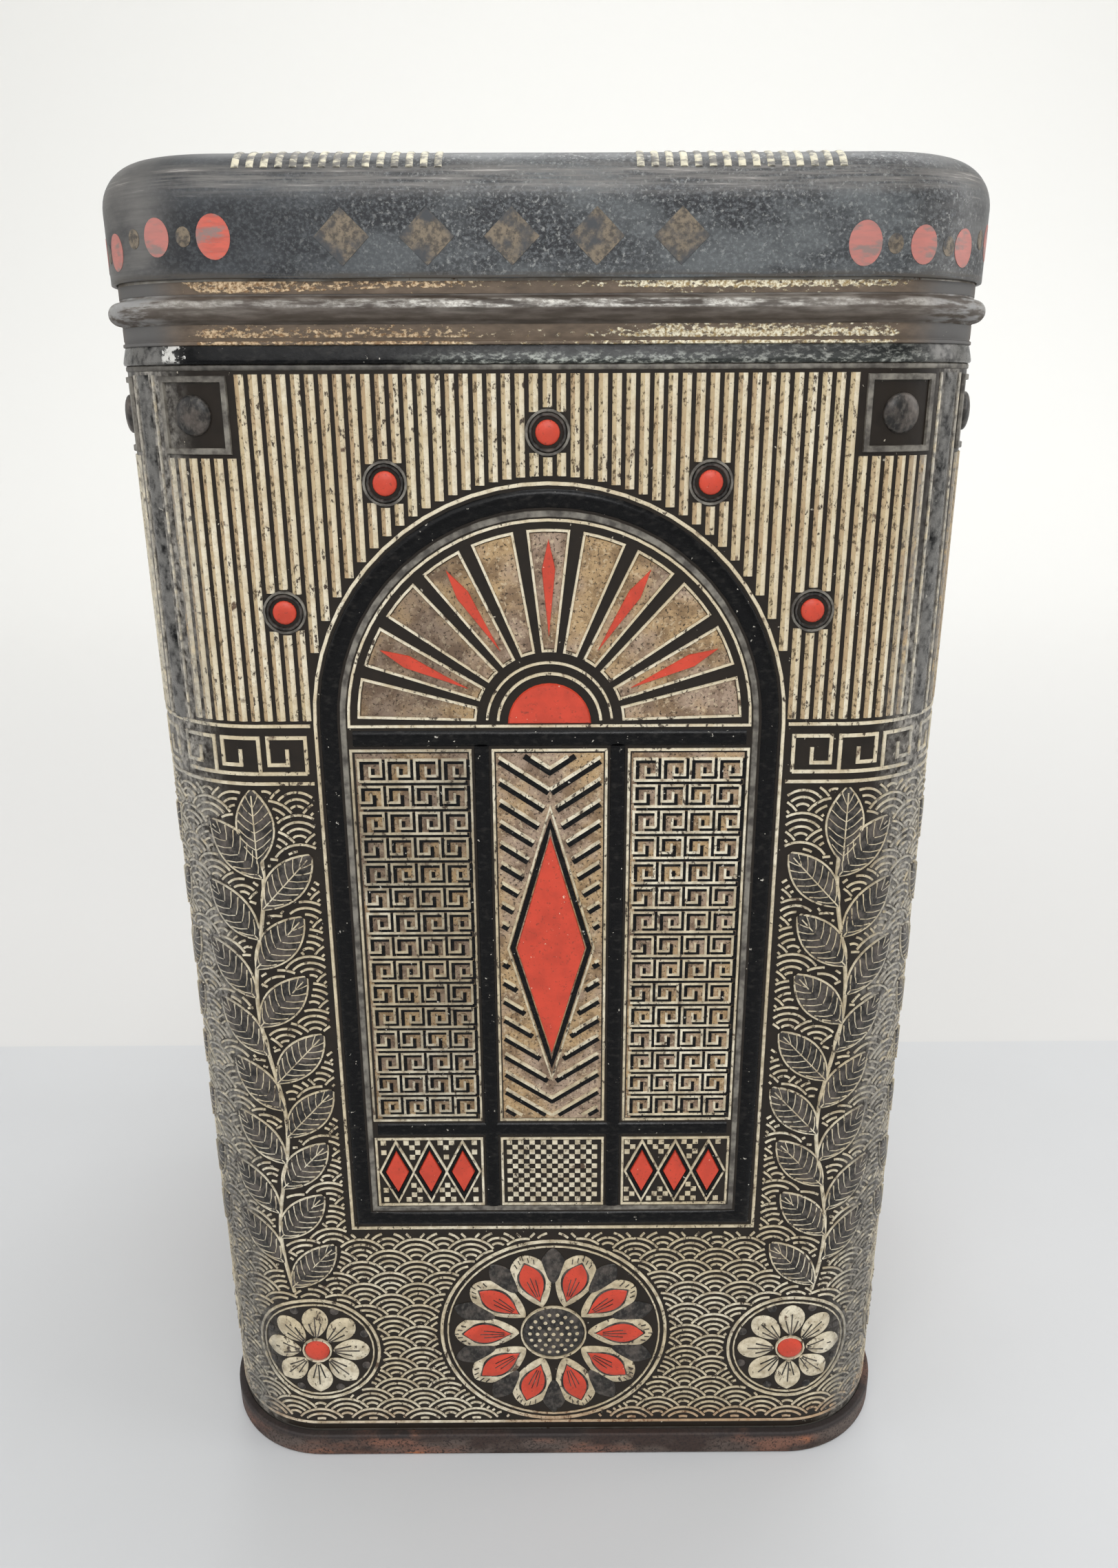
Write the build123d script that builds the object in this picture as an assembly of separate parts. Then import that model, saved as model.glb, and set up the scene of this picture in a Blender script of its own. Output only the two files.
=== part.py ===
from build123d import *
import math
import os

os.makedirs("parts", exist_ok=True)

# A square tinplate tea tin with a slip-on lid. Sizes are in millimetres, Z is up, the front
# faces -Y, and the tin stands on z = 0 with its middle at x = y = 0. Each pressing is a sheet
# section carried round the rounded square of the body. A section is drawn with x as the
# distance outward from the plain wall's outer face and y as the height.

# The body's plan and the gauge of the tinplate
body_width = 105.0
body_depth = 105.0
corner_radius = 15.5
sheet = 0.28

# The bottom seam, in which the wall and the bottom are folded into each other
seam_height = 4.0
seam_play = 0.12
seam_edge_radius = 0.38
hook_end_room = 0.35

# The bottom panel, let up inside the seam, with a shallow step round it
panel_height = 3.3
panel_bend_radius = 0.7
panel_step_inset = 7.0
panel_step_rise = 0.6
panel_step_width = 1.2
panel_ring_width = 11.0

# The bead that runs round the body under the lid
bead_height = 169.8
bead_projection = 1.5
bead_crown_radius = 1.1
bead_root_radius = 0.5

# The lid: its own height, and how it fits over the neck
lid_gap_above_bead = 1.55
lid_height = 13.5
lid_edge_radius = 5.3
lid_slip = 0.22
lid_hem_height = 3.2
lid_hem_play = 0.04
lid_hem_edge_radius = 0.28
lid_rest_gap = 0.15
lid_ring_width = 9.0

# The curl that rounds off the mouth of the neck
mouth_curl_radius = 0.9
mouth_curl_tail = 0.5

# The upright lock seam that closes the wall, in the middle of the back
lock_half_width = 2.4
lock_play = 0.06
lock_root_radius = 0.5
lock_end_room = 0.3
lock_shoulder = 1.6
lock_lap_height = 1.5
lock_clear_of_fold = 2.0

# Half a sheet and the middle of the wall's sheet are used by every section
half_sheet = sheet / 2
wall_middle = -half_sheet


def section(*pieces):
    """A sheet's cut face, of even thickness along the line that the pieces make."""
    line = Wire([edge for piece in pieces for edge in piece.edges()])
    return trace(line, sheet)


def soften(cut_face, corners, radius):
    """Rounds the corners of a cut face that lie nearest to the given points."""
    vertices = cut_face.vertices()
    nearest = [min(vertices, key=lambda vertex: (Vector(vertex) - Vector(*corner)).length) for corner in corners]
    return fillet(nearest, radius)


def turn(piece, radius, angle):
    """An arc that goes on from a piece: a positive angle turns left and a negative one right."""
    return JernArc(piece @ 1, piece % 1, radius, angle)


def run(piece, length):
    """A straight stretch that goes on from a piece."""
    return Line(piece @ 1, piece @ 1 + (piece % 1) * length)


def round_the_body(cut_face):
    """Carries a section round the rounded square: four turned corners and four straight sides."""
    upright = Plane.XZ * cut_face
    corner = revolve(Pos(corner_radius, 0, 0) * upright, axis=Axis.Z, revolution_arc=90)
    corner_x = body_width / 2 - corner_radius
    corner_y = body_depth / 2 - corner_radius
    pieces = []
    for quarter, (side_x, side_y) in enumerate([(1, 1), (-1, 1), (-1, -1), (1, -1)]):
        place = Pos(side_x * corner_x, side_y * corner_y, 0) * Rot(0, 0, 90 * quarter)
        pieces.append(place * corner)
    for quarter in range(4):
        reach, half_length = (body_width / 2, corner_y) if quarter % 2 == 0 else (body_depth / 2, corner_x)
        straight = extrude(upright, amount=half_length, both=True)
        pieces.append(Rot(0, 0, 90 * quarter) * Pos(reach, 0, 0) * straight)
    return pieces[0].fuse(*pieces[1:])


def flat_middle(inset, underside):
    """The flat sheet that fills the middle of a ring whose section ends at this inset."""
    outline = RectangleRounded(body_width - 2 * inset, body_depth - 2 * inset, corner_radius - inset)
    return extrude(Pos(0, 0, underside) * outline, amount=sheet)


# Layers of the bottom seam, one pitch apart, and the middles of the sheets where they fold
seam_pitch = sheet + seam_play
cover_hook = wall_middle + seam_pitch
body_hook = wall_middle + 2 * seam_pitch
seam_face = wall_middle + 3 * seam_pitch
chuck_wall = wall_middle - seam_pitch
plate_fold = half_sheet
wall_fold = plate_fold + seam_pitch
cover_fold = seam_height - half_sheet

# Half the bead's height follows from its two radii and how far it stands out
bead_turn = math.acos(1 - bead_projection / (bead_crown_radius + bead_root_radius))
bead_half_height = (bead_crown_radius + bead_root_radius) * math.sin(bead_turn)

# The lid's layers, and the height at which its rounded edge begins
hem_middle = lid_slip + half_sheet
skirt_middle = hem_middle + sheet + lid_hem_play
lid_foot = bead_height + bead_half_height + lid_gap_above_bead
lid_top = lid_foot + lid_height
edge_start = lid_top - lid_edge_radius

# The mouth's curl stands as high as the inside of the lid's rounded edge lets it
curl_middle_radius = mouth_curl_radius - half_sheet
inside_edge_radius = lid_edge_radius - sheet
edge_centre = skirt_middle + half_sheet - lid_edge_radius
curl_centre = -mouth_curl_radius
curl_reach = inside_edge_radius - lid_rest_gap - mouth_curl_radius
curl_height = edge_start + math.sqrt(curl_reach**2 - (curl_centre - edge_centre) ** 2)

# The lock seam's layers, inward from the wall, and the height that it covers
lock_pitch = sheet + lock_play
lock_foot = seam_height + lock_clear_of_fold
lock_head = bead_height - bead_half_height - lock_clear_of_fold
lock_step_radius = lock_root_radius + 2 * lock_pitch
lock_step_turn = math.acos(1 - 3 * lock_pitch / lock_step_radius)
lock_step_angle = math.degrees(lock_step_turn)
lock_step_width = lock_step_radius * math.sin(lock_step_turn)
lock_window_edge = -lock_half_width - lock_step_width - lock_shoulder


def wall_section():
    """From the hook in the bottom seam up the wall, over the bead and into the mouth's curl."""
    hook = Polyline(
        (body_hook, cover_fold - seam_pitch - hook_end_room),
        (body_hook, wall_fold),
        (wall_middle, wall_fold),
        (wall_middle, bead_height - bead_half_height),
    )
    bead_angle = math.degrees(bead_turn)
    bead_foot = turn(hook, bead_root_radius, -bead_angle)
    bead_crown = turn(bead_foot, bead_crown_radius, 2 * bead_angle)
    bead_head = turn(bead_crown, bead_root_radius, -bead_angle)
    neck = Line(bead_head @ 1, (wall_middle, curl_height))
    curl = turn(neck, curl_middle_radius, 180)
    tail = run(curl, mouth_curl_tail)
    return section(hook, bead_foot, bead_crown, bead_head, neck, curl, tail)


def bottom_section():
    """From the panel out over its step, down inside the wall, round the seam and into its hook."""
    rim_middle = panel_height + half_sheet
    line = Polyline(
        (-panel_ring_width, rim_middle - panel_step_rise),
        (-panel_step_inset - panel_step_width, rim_middle - panel_step_rise),
        (-panel_step_inset, rim_middle),
        (chuck_wall, rim_middle),
        (chuck_wall, plate_fold),
        (seam_face, plate_fold),
        (seam_face, cover_fold),
        (cover_hook, cover_fold),
        (cover_hook, wall_fold + hook_end_room),
    )
    seam_outside = seam_face + half_sheet
    seam_corners = [(seam_outside, 0), (seam_outside, seam_height)]
    cut_face = soften(section(line), seam_corners, seam_edge_radius)
    return soften(cut_face, [(chuck_wall - half_sheet, panel_height)], panel_bend_radius)


def lid_section():
    """From the hem turned up inside the skirt, up the skirt and over the rounded edge."""
    fold_height = lid_foot + half_sheet
    line = Polyline(
        (hem_middle, lid_foot + lid_hem_height),
        (hem_middle, fold_height),
        (skirt_middle, fold_height),
        (skirt_middle, edge_start),
    )
    edge = JernArc((skirt_middle, edge_start), (0, 1), lid_edge_radius - half_sheet, 90)
    top = run(edge, lid_ring_width + skirt_middle + half_sheet - lid_edge_radius)
    hem_corner = (skirt_middle + half_sheet, lid_foot)
    return soften(section(line, edge, top), [hem_corner], lid_hem_edge_radius)


def lock_seam_layers():
    """The wall's two hooked ends, seen from above: x runs across the seam and y runs inward."""
    outer_start = Line((lock_half_width + lock_shoulder, 0), (-lock_half_width, 0))
    outer_fold = turn(outer_start, lock_pitch, -180)
    outer_hook = run(outer_fold, 2 * lock_half_width - lock_end_room)
    inner_start = Line((lock_window_edge, 0), (lock_window_edge + lock_shoulder, 0))
    inner_root = turn(inner_start, lock_root_radius, lock_step_angle)
    inner_wrap = turn(inner_root, 2 * lock_pitch, -lock_step_angle)
    inner_layer = run(inner_wrap, 2 * lock_half_width)
    inner_fold = turn(inner_layer, lock_pitch, -180)
    inner_hook = run(inner_fold, 2 * lock_half_width - lock_end_room)
    outer_end = section(outer_start, outer_fold, outer_hook)
    inner_end = section(inner_start, inner_root, inner_wrap, inner_layer, inner_fold, inner_hook)
    return outer_end, inner_end


def with_lock_seam(closed_wall):
    """Opens the closed wall at the back and hooks its ends there, lapped solid at foot and head."""
    on_the_back = Pos(0, body_depth / 2 - half_sheet, 0) * Rot(0, 0, 180)
    window_width = lock_half_width + lock_shoulder - lock_window_edge
    window_middle = lock_window_edge + window_width / 2
    length = lock_head - lock_foot
    window = Pos(window_middle, 0, lock_foot + length / 2) * Box(window_width, 2 * sheet, length)
    wall = closed_wall - on_the_back * window
    layers = [extrude(Pos(0, 0, lock_foot) * layer, amount=length) for layer in lock_seam_layers()]
    lap_width = window_width - 2 * lock_shoulder + lock_pitch
    lap_middle = lock_window_edge + lock_shoulder + lap_width / 2
    lap_depth = 3 * lock_pitch + half_sheet
    for lap_foot in (lock_foot - lock_lap_height, lock_head):
        lap = Pos(lap_middle, lap_depth / 2, lap_foot + lock_lap_height / 2)
        layers.append(lap * Box(lap_width, lap_depth, lock_lap_height))
    return wall.fuse(*[on_the_back * layer for layer in layers])


def body_wall():
    """The decorated wall, one sheet wrapped round the body, with bead, neck and curled mouth."""
    return with_lock_seam(round_the_body(wall_section()))


def bottom_plate():
    """The bottom, pressed up into a panel and folded round the foot of the wall."""
    ring = round_the_body(bottom_section())
    return ring.fuse(flat_middle(panel_ring_width, panel_height - panel_step_rise))


def lid():
    """The slip-on lid, drawn in one piece, with a rounded edge and a hemmed skirt."""
    ring = round_the_body(lid_section())
    return ring.fuse(flat_middle(lid_ring_width, lid_top - sheet))


pieces = {"body_wall": body_wall, "bottom_plate": bottom_plate, "lid": lid}
for name, make in pieces.items():
    export_step(make(), f"parts/{name}.step")
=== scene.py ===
import math
from functools import partial

import bpy
from mathutils import Euler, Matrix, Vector, noise


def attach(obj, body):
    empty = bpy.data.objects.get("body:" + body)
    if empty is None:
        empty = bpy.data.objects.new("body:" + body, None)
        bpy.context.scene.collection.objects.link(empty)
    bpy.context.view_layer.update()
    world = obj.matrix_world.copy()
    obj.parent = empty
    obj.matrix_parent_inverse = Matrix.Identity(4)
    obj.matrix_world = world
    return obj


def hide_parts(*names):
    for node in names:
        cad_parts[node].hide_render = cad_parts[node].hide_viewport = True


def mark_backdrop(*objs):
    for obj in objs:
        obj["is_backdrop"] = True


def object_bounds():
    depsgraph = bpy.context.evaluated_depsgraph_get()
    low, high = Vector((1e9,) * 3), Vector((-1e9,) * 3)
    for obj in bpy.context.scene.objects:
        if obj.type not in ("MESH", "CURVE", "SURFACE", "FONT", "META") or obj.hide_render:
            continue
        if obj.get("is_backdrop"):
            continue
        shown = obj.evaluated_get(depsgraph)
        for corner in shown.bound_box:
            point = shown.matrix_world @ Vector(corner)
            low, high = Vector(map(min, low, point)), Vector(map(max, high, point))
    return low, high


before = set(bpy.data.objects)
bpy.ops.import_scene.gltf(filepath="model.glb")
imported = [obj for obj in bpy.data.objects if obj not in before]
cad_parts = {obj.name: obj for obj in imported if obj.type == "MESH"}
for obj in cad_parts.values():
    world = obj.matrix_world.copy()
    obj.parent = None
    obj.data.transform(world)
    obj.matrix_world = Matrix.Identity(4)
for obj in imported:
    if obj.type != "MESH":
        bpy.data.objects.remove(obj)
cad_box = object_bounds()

# The camera stands close in front of the tin, just under the height of the lid's skirt, and
# looks down at it, so the wall narrows towards its foot and the lid's flat top is hidden.
camera_place = (0.00079, -0.19337, 0.16170)
camera_lens = 26.526
look_down, turn_right, lean = math.radians(70.92), math.radians(-0.154), math.radians(-0.223)

camera_data = bpy.data.cameras.new("camera")
camera_data.lens = camera_lens
camera_data.clip_start = 0.01
camera = bpy.data.objects.new("camera", camera_data)
camera.location = camera_place
heading = Euler((0, 0, turn_right)).to_matrix() @ Euler((look_down, 0, 0)).to_matrix()
camera.rotation_euler = (heading @ Euler((0, 0, lean)).to_matrix()).to_euler()
bpy.context.scene.collection.objects.link(camera)
bpy.context.scene.camera = camera


# The tin stands on a matt pale grey board, whose far edge shows just behind it. Beyond that a
# wide off-white floor sweeps up into a backdrop.
board_half_width, board_front, board_back, board_thickness = 1.5, -1.2, 0.068, 0.0015
sweep_half_width, sweep_front, sweep_back, sweep_radius, sweep_top = 6.0, -6.0, 0.55, 0.6, 2.4


def paint(code):
    """A colour written as on a paint chart, in the shader's own numbers."""
    parts = [int(code[i:i + 2], 16) / 255 for i in (1, 3, 5)]
    return [part / 12.92 if part <= 0.04045 else ((part + 0.055) / 1.055) ** 2.4 for part in parts] + [1.0]


class Pattern:
    """A value that changes over a piece. Patterns add and multiply; | is the greater and & the lesser."""

    def __init__(self, finish, socket):
        self.finish, self.socket = finish, socket

    def reckon(self, operation, *others):
        return self.finish.node("Math", 0, dict(enumerate((self, *others))), operation=operation)

    def __add__(self, other):
        return self.reckon("ADD", other)

    def __mul__(self, other):
        return self.reckon("MULTIPLY", other)

    def __or__(self, other):
        return self.reckon("MAXIMUM", other)

    def __and__(self, other):
        return self.reckon("MINIMUM", other)

    def __abs__(self):
        return self.reckon("ABSOLUTE")

    def between(self, low, high):
        """Goes from 0 at low to 1 at high, with soft ends."""
        ends = {"Value": self, "From Min": low, "From Max": high}
        return self.finish.node("MapRange", 0, ends, interpolation_type="SMOOTHSTEP")

    def band(self, start, full, fading, end):
        """Goes from 0 at the start to 1 at full, and from 1 at fading back to 0 at the end."""
        return self.between(start, full) * self.between(end, fading)

    def spread(self, low, high):
        """Spreads a value from 0 to 1 over another span."""
        return self.finish.node("MapRange", 0, {"Value": self, "To Min": low, "To Max": high})

    def blend(self, under, top):
        """Lays the top colour over the one under it."""
        return self.finish.node("Mix", 2, {0: self, 6: under, 7: top}, data_type="RGBA")


class Finish:
    """A material for one finish. Its patterns are measured in millimetres on the piece itself."""

    def __init__(self, name, colour, **sockets):
        self.material = bpy.data.materials.new(name)
        self.material.use_nodes = True
        self.nodes = self.material.node_tree.nodes
        self.shader = self.nodes["Principled BSDF"]
        self.join(colour, self.shader.inputs["Base Color"])
        for socket, value in sockets.items():
            self.join(value, self.shader.inputs[socket.replace("_", " ").title().replace("Ior", "IOR")])
        metres = self.node("TexCoord", "Object", {})
        self.place = self.node("VectorMath", "Vector", {0: metres, "Scale": 1000}, operation="SCALE")
        self.x, self.y, self.z = (self.node("SeparateXYZ", axis, {0: self.place}) for axis in "XYZ")

    def join(self, source, socket):
        if isinstance(source, Pattern):
            self.material.node_tree.links.new(source.socket, socket)
        else:
            socket.default_value = paint(source) if isinstance(source, str) else source

    def node(self, kind, output, inputs, **settings):
        """A node with its settings made and its inputs joined; gives one of its outputs."""
        made = self.nodes.new(f"ShaderNode{kind}")
        for name, value in settings.items():
            setattr(made, name, value)
        for name, source in inputs.items():
            self.join(source, made.inputs[name])
        return Pattern(self, made.outputs[output])

    def clouds(self, grain, detail=3.0, stretch=(1, 1, 1), shift=0.0, rough=0.6):
        """Soft irregular patches about as wide as the grain, from 0 to 1."""
        moved = self.node("Mapping", 0, {"Vector": self.place, "Location": (shift, shift * 0.7, -shift),
                                         "Scale": [1 / (grain * wide) for wide in stretch]})
        settings = {"Vector": moved, "Scale": 1.0, "Detail": detail, "Roughness": rough}
        return self.node("TexNoise", 0, settings)

    def corner_wear(self, start, full):
        """From 0 on the flat sides to 1 at the upright corners, where hands rub the print away."""
        return (abs(self.x) & abs(self.y)).between(start, full)

    def set(self, ground, *coats, bumps=(), **others):
        """Lays coats of colour over a ground, each where its pattern says, and bumps in millimetres."""
        joins = {"Base Color": ground, **{name.title(): pattern for name, pattern in others.items()}}
        for amount, colour in coats:
            joins["Base Color"] = amount.blend(joins["Base Color"], colour)
        for height, depth in bumps:
            under = {"Normal": joins["Normal"]} if "Normal" in joins else {}
            joins["Normal"] = self.node("Bump", 0, {"Height": height, "Distance": depth / 1000, **under})
        for name, source in joins.items():
            self.join(source, self.shader.inputs[name])


def solid(name, points, faces, finish, crease=32, more_faces=(), other_finish=None):
    """An object in metres, smooth except across sharp edges. Some faces can have another finish."""
    mesh = bpy.data.meshes.new(name)
    mesh.from_pydata(points, [], [*faces, *more_faces])
    mesh.shade_smooth()
    mesh.set_sharp_from_angle(angle=math.radians(crease))
    mesh.materials.append(finish.material)
    if more_faces:
        mesh.materials.append(other_finish.material)
    for face in mesh.polygons[len(faces):]:
        face.material_index = 1
    made = bpy.data.objects.new(name, mesh)
    bpy.context.scene.collection.objects.link(made)
    return made


board_paint = Finish("board_paint", "#BFC0C1", roughness=0.7)
board_paint.set("#BEBFC0", (board_paint.clouds(60.0), "#C3C4C5"),
                bumps=[(board_paint.clouds(0.6), 0.01)])
board_points = [(x, y, z) for x in (-board_half_width, board_half_width)
                for y in (board_front, board_back) for z in (-board_thickness, 0)]
board_faces = [(0, 1, 3, 2), (4, 6, 7, 5), (0, 4, 5, 1), (2, 3, 7, 6), (0, 2, 6, 4), (1, 5, 7, 3)]
board = solid("board", board_points, board_faces, board_paint)

# the paper is painted darker near the board, a painted shade; far off, in front and to the sides, the
# floor glows a little like the pale sky over it, a painted glow
paper = Finish("backdrop_paper", "#F0EFEB", roughness=0.9)
paper.set("#C9C8C6", (paper.y.between(60.0, 1000.0), "#E9E8E4"))
far_glow = (paper.y.between(-850, -1700) | abs(paper.x).between(1200, 2200)) * paper.z.between(60, 0)
paper.join("#E4E4E2", paper.shader.inputs["Emission Color"])
paper.join(far_glow * 0.5, paper.shader.inputs["Emission Strength"])
bend = [math.radians(turned) for turned in range(0, 91, 5)]
sweep = [(sweep_front, 0.0)]
sweep += [(sweep_back + sweep_radius * math.sin(t), sweep_radius * (1 - math.cos(t))) for t in bend]
sweep += [(sweep_back + sweep_radius, sweep_top)]
sweep_points = [(x, y, z - board_thickness)
                for y, z in sweep for x in (-sweep_half_width, sweep_half_width)]
sweep_faces = [(i, i + 1, i + 3, i + 2) for i in range(0, 2 * len(sweep) - 2, 2)]
backdrop = solid("backdrop", sweep_points, sweep_faces, paper, crease=80)
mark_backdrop(board, backdrop)


# Soft daylight from wide windows in front and behind, weaker ones at the sides, and a pale sky
# all round. Two smaller windows in front make streaks on the glossy ridge and the bead, over
# the highlights painted into their colours.
daylight = bpy.data.worlds.new("daylight")
daylight.use_nodes = True
sky_nodes = daylight.node_tree.nodes
sky, pale_beyond = sky_nodes["Background"], sky_nodes.new("ShaderNodeBackground")
sky.inputs["Color"].default_value = paint("#F4F6F8")
sky.inputs["Strength"].default_value = 0.52
pale_beyond.inputs["Color"].default_value = paint("#E4E4E2")
seen, chosen = sky_nodes.new("ShaderNodeLightPath"), sky_nodes.new("ShaderNodeMixShader")
for source, socket in ((seen.outputs["Is Camera Ray"], chosen.inputs[0]),
                       (sky.outputs[0], chosen.inputs[1]), (pale_beyond.outputs[0], chosen.inputs[2]),
                       (chosen.outputs[0], sky_nodes["World Output"].inputs["Surface"])):
    daylight.node_tree.links.new(source, socket)
bpy.context.scene.world = daylight
bpy.context.scene.view_settings.view_transform = "Standard"

tin_middle = Vector((0, 0, 0.1))
windows = {
    "front_window": ((-0.25, -1.10, 0.95), (1.3, 0.9), 6.2),
    "small_window": ((0.05, -1.00, 0.70), (0.26, 0.26), 3.0),
    "high_window": ((0.06, -0.35, 1.15), (0.42, 0.30), 2.4),
    "left_window": ((-1.1, -0.3, 0.6), (0.7, 0.9), 2.5),
    "right_window": ((1.1, -0.1, 0.6), (0.7, 0.9), 5.3),
    "back_window": ((0.2, 0.75, 1.35), (1.4, 0.6), 8.5),
}
for name, (place, (width, height), power) in windows.items():
    lamp = bpy.data.lights.new(name, "AREA")
    lamp.shape = "RECTANGLE"
    lamp.size, lamp.size_y, lamp.energy = width, height, power
    window = bpy.data.objects.new(name, lamp)
    window.location = place
    window.rotation_euler = (tin_middle - Vector(place)).to_track_quat("-Z", "Y").to_euler()
    bpy.context.scene.collection.objects.link(window)


# The wall of the body is one sheet of tinplate, bent round a rounded square and hooked together
# up the middle of the back. Inside, and on the neck that the lid covers, the tin is left bare.
bare_tin = Finish("bare_tin", "#8E8A82", metallic=0.85)
tarnish = bare_tin.clouds(9.0, 5.0).between(0.42, 0.68)
freckles = bare_tin.clouds(0.9, 4.0, shift=30.0).between(0.60, 0.72)
bare_tin.set("#9A968E", (tarnish, "#6E655A"), (freckles, "#54402F"), roughness=tarnish.spread(0.34, 0.55),
             bumps=[(bare_tin.clouds(0.5, 4.0), 0.008), (bare_tin.clouds(14.0, 2.0), 0.10)])
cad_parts["body_wall"].data.materials[0] = bare_tin.material


# The bottom is pressed up and folded round the foot of the wall. It was never printed, and it
# has rusted: dark brown all round, with bright orange patches along the seam.
rusty_tin = Finish("rusty_tin", "#4A3A31", metallic=0.25)
old_rust = rusty_tin.clouds(6.0, 5.0, (1.6, 1.6, 0.8)).between(0.40, 0.62)
new_rust = rusty_tin.clouds(8.0, 5.0, (2.2, 2.2, 0.8), shift=11.0).between(0.50, 0.68)
bright_rust = rusty_tin.clouds(2.4, 5.0, (2.4, 2.4, 0.8), shift=31.0).between(0.56, 0.70)
upper_fold = rusty_tin.z.between(2.7, 3.7) * old_rust.between(1.3, 0.2)
grit = rusty_tin.clouds(0.35, 5.0, shift=4.0)
rusty_tin.set("#5B4F48", (old_rust, "#3A2B25"), (new_rust, "#7C5747"),
              (bright_rust * new_rust, "#A96A45"), (upper_fold, "#2E2725"),
              (grit.between(0.48, 0.66), "#2B2321"), roughness=grit.spread(0.45, 0.85),
              bumps=[(grit, 0.03), (rusty_tin.clouds(2.0, 3.0, shift=7.0), 0.08)])
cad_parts["bottom_plate"].data.materials[0] = rusty_tin.material


# The outside of the wall carries a coat of black stoving lacquer, laid on the flat sheet before
# it was bent. Hands have rubbed it through to grey metal along the four upright corners.
wall_reach, corner_radius = 52.5, 15.5
flat_half = wall_reach - corner_radius
side_half = flat_half + corner_radius * math.pi / 4
coat_foot, coat_head, coat_lift, coat_back = 4.35, 163.6, 0.09, 0.01
dent_depth, dent_width, dent_foot, dent_head, dent_fade = 0.07, 26.0, 6, 163, 12
bent_step, flat_step = 1.1, 2.6
side_names = ("front", "right", "back", "left")
back = 2
print_height = 190
seam_strip, seam_groove = (-5.1, -1.2), (-3.9, -2.4)


def on_the_tin(side, across, height, out):
    """A place in metres: across and up one side as it is seen from in front, and out of the plain wall."""
    past = abs(across) - flat_half
    if past <= 0:
        sideways, forward = across, wall_reach + out
    else:
        reach = corner_radius + out
        turned = past / corner_radius
        sideways = math.copysign(flat_half + reach * math.sin(turned), across)
        forward = flat_half + reach * math.cos(turned)
    x, y = ((sideways, -forward), (forward, sideways), (-sideways, forward), (-forward, -sideways))[side]
    return x / 1000, y / 1000, height / 1000


def on_the_wall(side, across, height, out):
    """As on_the_tin, with the shallow unevenness of thin sheet between the seam and the bead."""
    x, y, z = on_the_tin(side, across, height, 0)
    from_edges = min(height - dent_foot, dent_head - height)
    fade = min(1, max(0, from_edges / dent_fade))
    swell = noise.noise(Vector((x, y, z)) * 1000 / dent_width) * dent_depth * fade
    return on_the_tin(side, across, height, out + swell if out > 0 else out)


class Work:
    """Work of one finish, drawn flat for one side: across, height and out of the wall."""

    def __init__(self):
        self.points, self.backs, self.faces, self.shaded = [], [], [], []

    def add(self, points, faces, backs=(), shaded=()):
        first = len(self.points)
        self.points += points
        for kept, given in ((self.faces, faces), (self.backs, backs), (self.shaded, shaded)):
            kept += [[first + i for i in face] for face in given]


def evenly(start, stop, step):
    """Values from start to stop, evenly spaced and no further apart than the step."""
    count = max(1, math.ceil(abs(stop - start) / step))
    return [start + (stop - start) * i / count for i in range(count + 1)]


def polar(centre, radius, degrees):
    turned = math.radians(degrees)
    return centre[0] + radius * math.cos(turned), centre[1] + radius * math.sin(turned)


def arc(centre, radius, start, stop, step=10):
    return [polar(centre, radius, t) for t in evenly(start, stop, step)]


def round_stops(low, high):
    """Stops across a side that are close together where the wall bends."""
    ends = [low] + [edge for edge in (-flat_half, flat_half) if low < edge < high] + [high]
    stops = []
    for start, stop in zip(ends, ends[1:]):
        bent = abs(start + stop) / 2 > flat_half
        stops += evenly(start, stop, bent_step if bent else flat_step)[:-1]
    return stops + [high]


def add_shell(work, rows, back_level):
    """A sheet over rows of points of across, height and out, with its own thickness behind."""
    wide, tall = len(rows[0]), len(rows)
    points = [point for row in rows for point in row]
    points += [(a, h, back_level) for a, h, out in points]
    whole = wide * tall
    faces, backs = [], []
    for row in range(tall - 1):
        for k in range(row * wide, row * wide + wide - 1):
            faces.append((k, k + 1, k + 1 + wide, k + wide))
            backs.append((whole + k + wide, whole + k + 1 + wide, whole + k + 1, whole + k))
    edge = list(range(wide)) + [row * wide + wide - 1 for row in range(1, tall)]
    edge += [whole - 1 - i for i in range(1, wide)] + [row * wide for row in range(tall - 2, 0, -1)]
    backs += [(b, a, whole + a, whole + b) for a, b in zip(edge, edge[1:] + edge[:1])]
    work.add(points, faces, backs)


def add_sheet(work, stops, heights, out, back_level):
    add_shell(work, [[(a, h, out) for a in stops] for h in heights], back_level)


def lay(name, works, finish, body="tin", place=on_the_wall,
        crease=32, shade=None):
    """Makes one piece of the work on each side, and carries it with its body."""
    points, faces, shaded, spots = [], [], [], []
    for side, work in works.items():
        first = len(points)
        points += [place(side, *point) for point in work.points]
        spots += [((a + side_half) / (2 * side_half), h / print_height) for a, h, out in work.points]
        faces += [[first + i for i in face] for face in work.backs + work.faces]
        shaded += [[first + i for i in face] for face in work.shaded]
    made = solid(name, points, faces, finish, crease, shaded, shade)
    if len(works) == 1:
        layer = made.data.uv_layers.new(name="OFBake")
        corners = [0] * len(made.data.loops)
        made.data.loops.foreach_get("vertex_index", corners)
        layer.uv.foreach_set("vector", [part for corner in corners for part in spots[corner]])
    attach(made, body)


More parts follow.
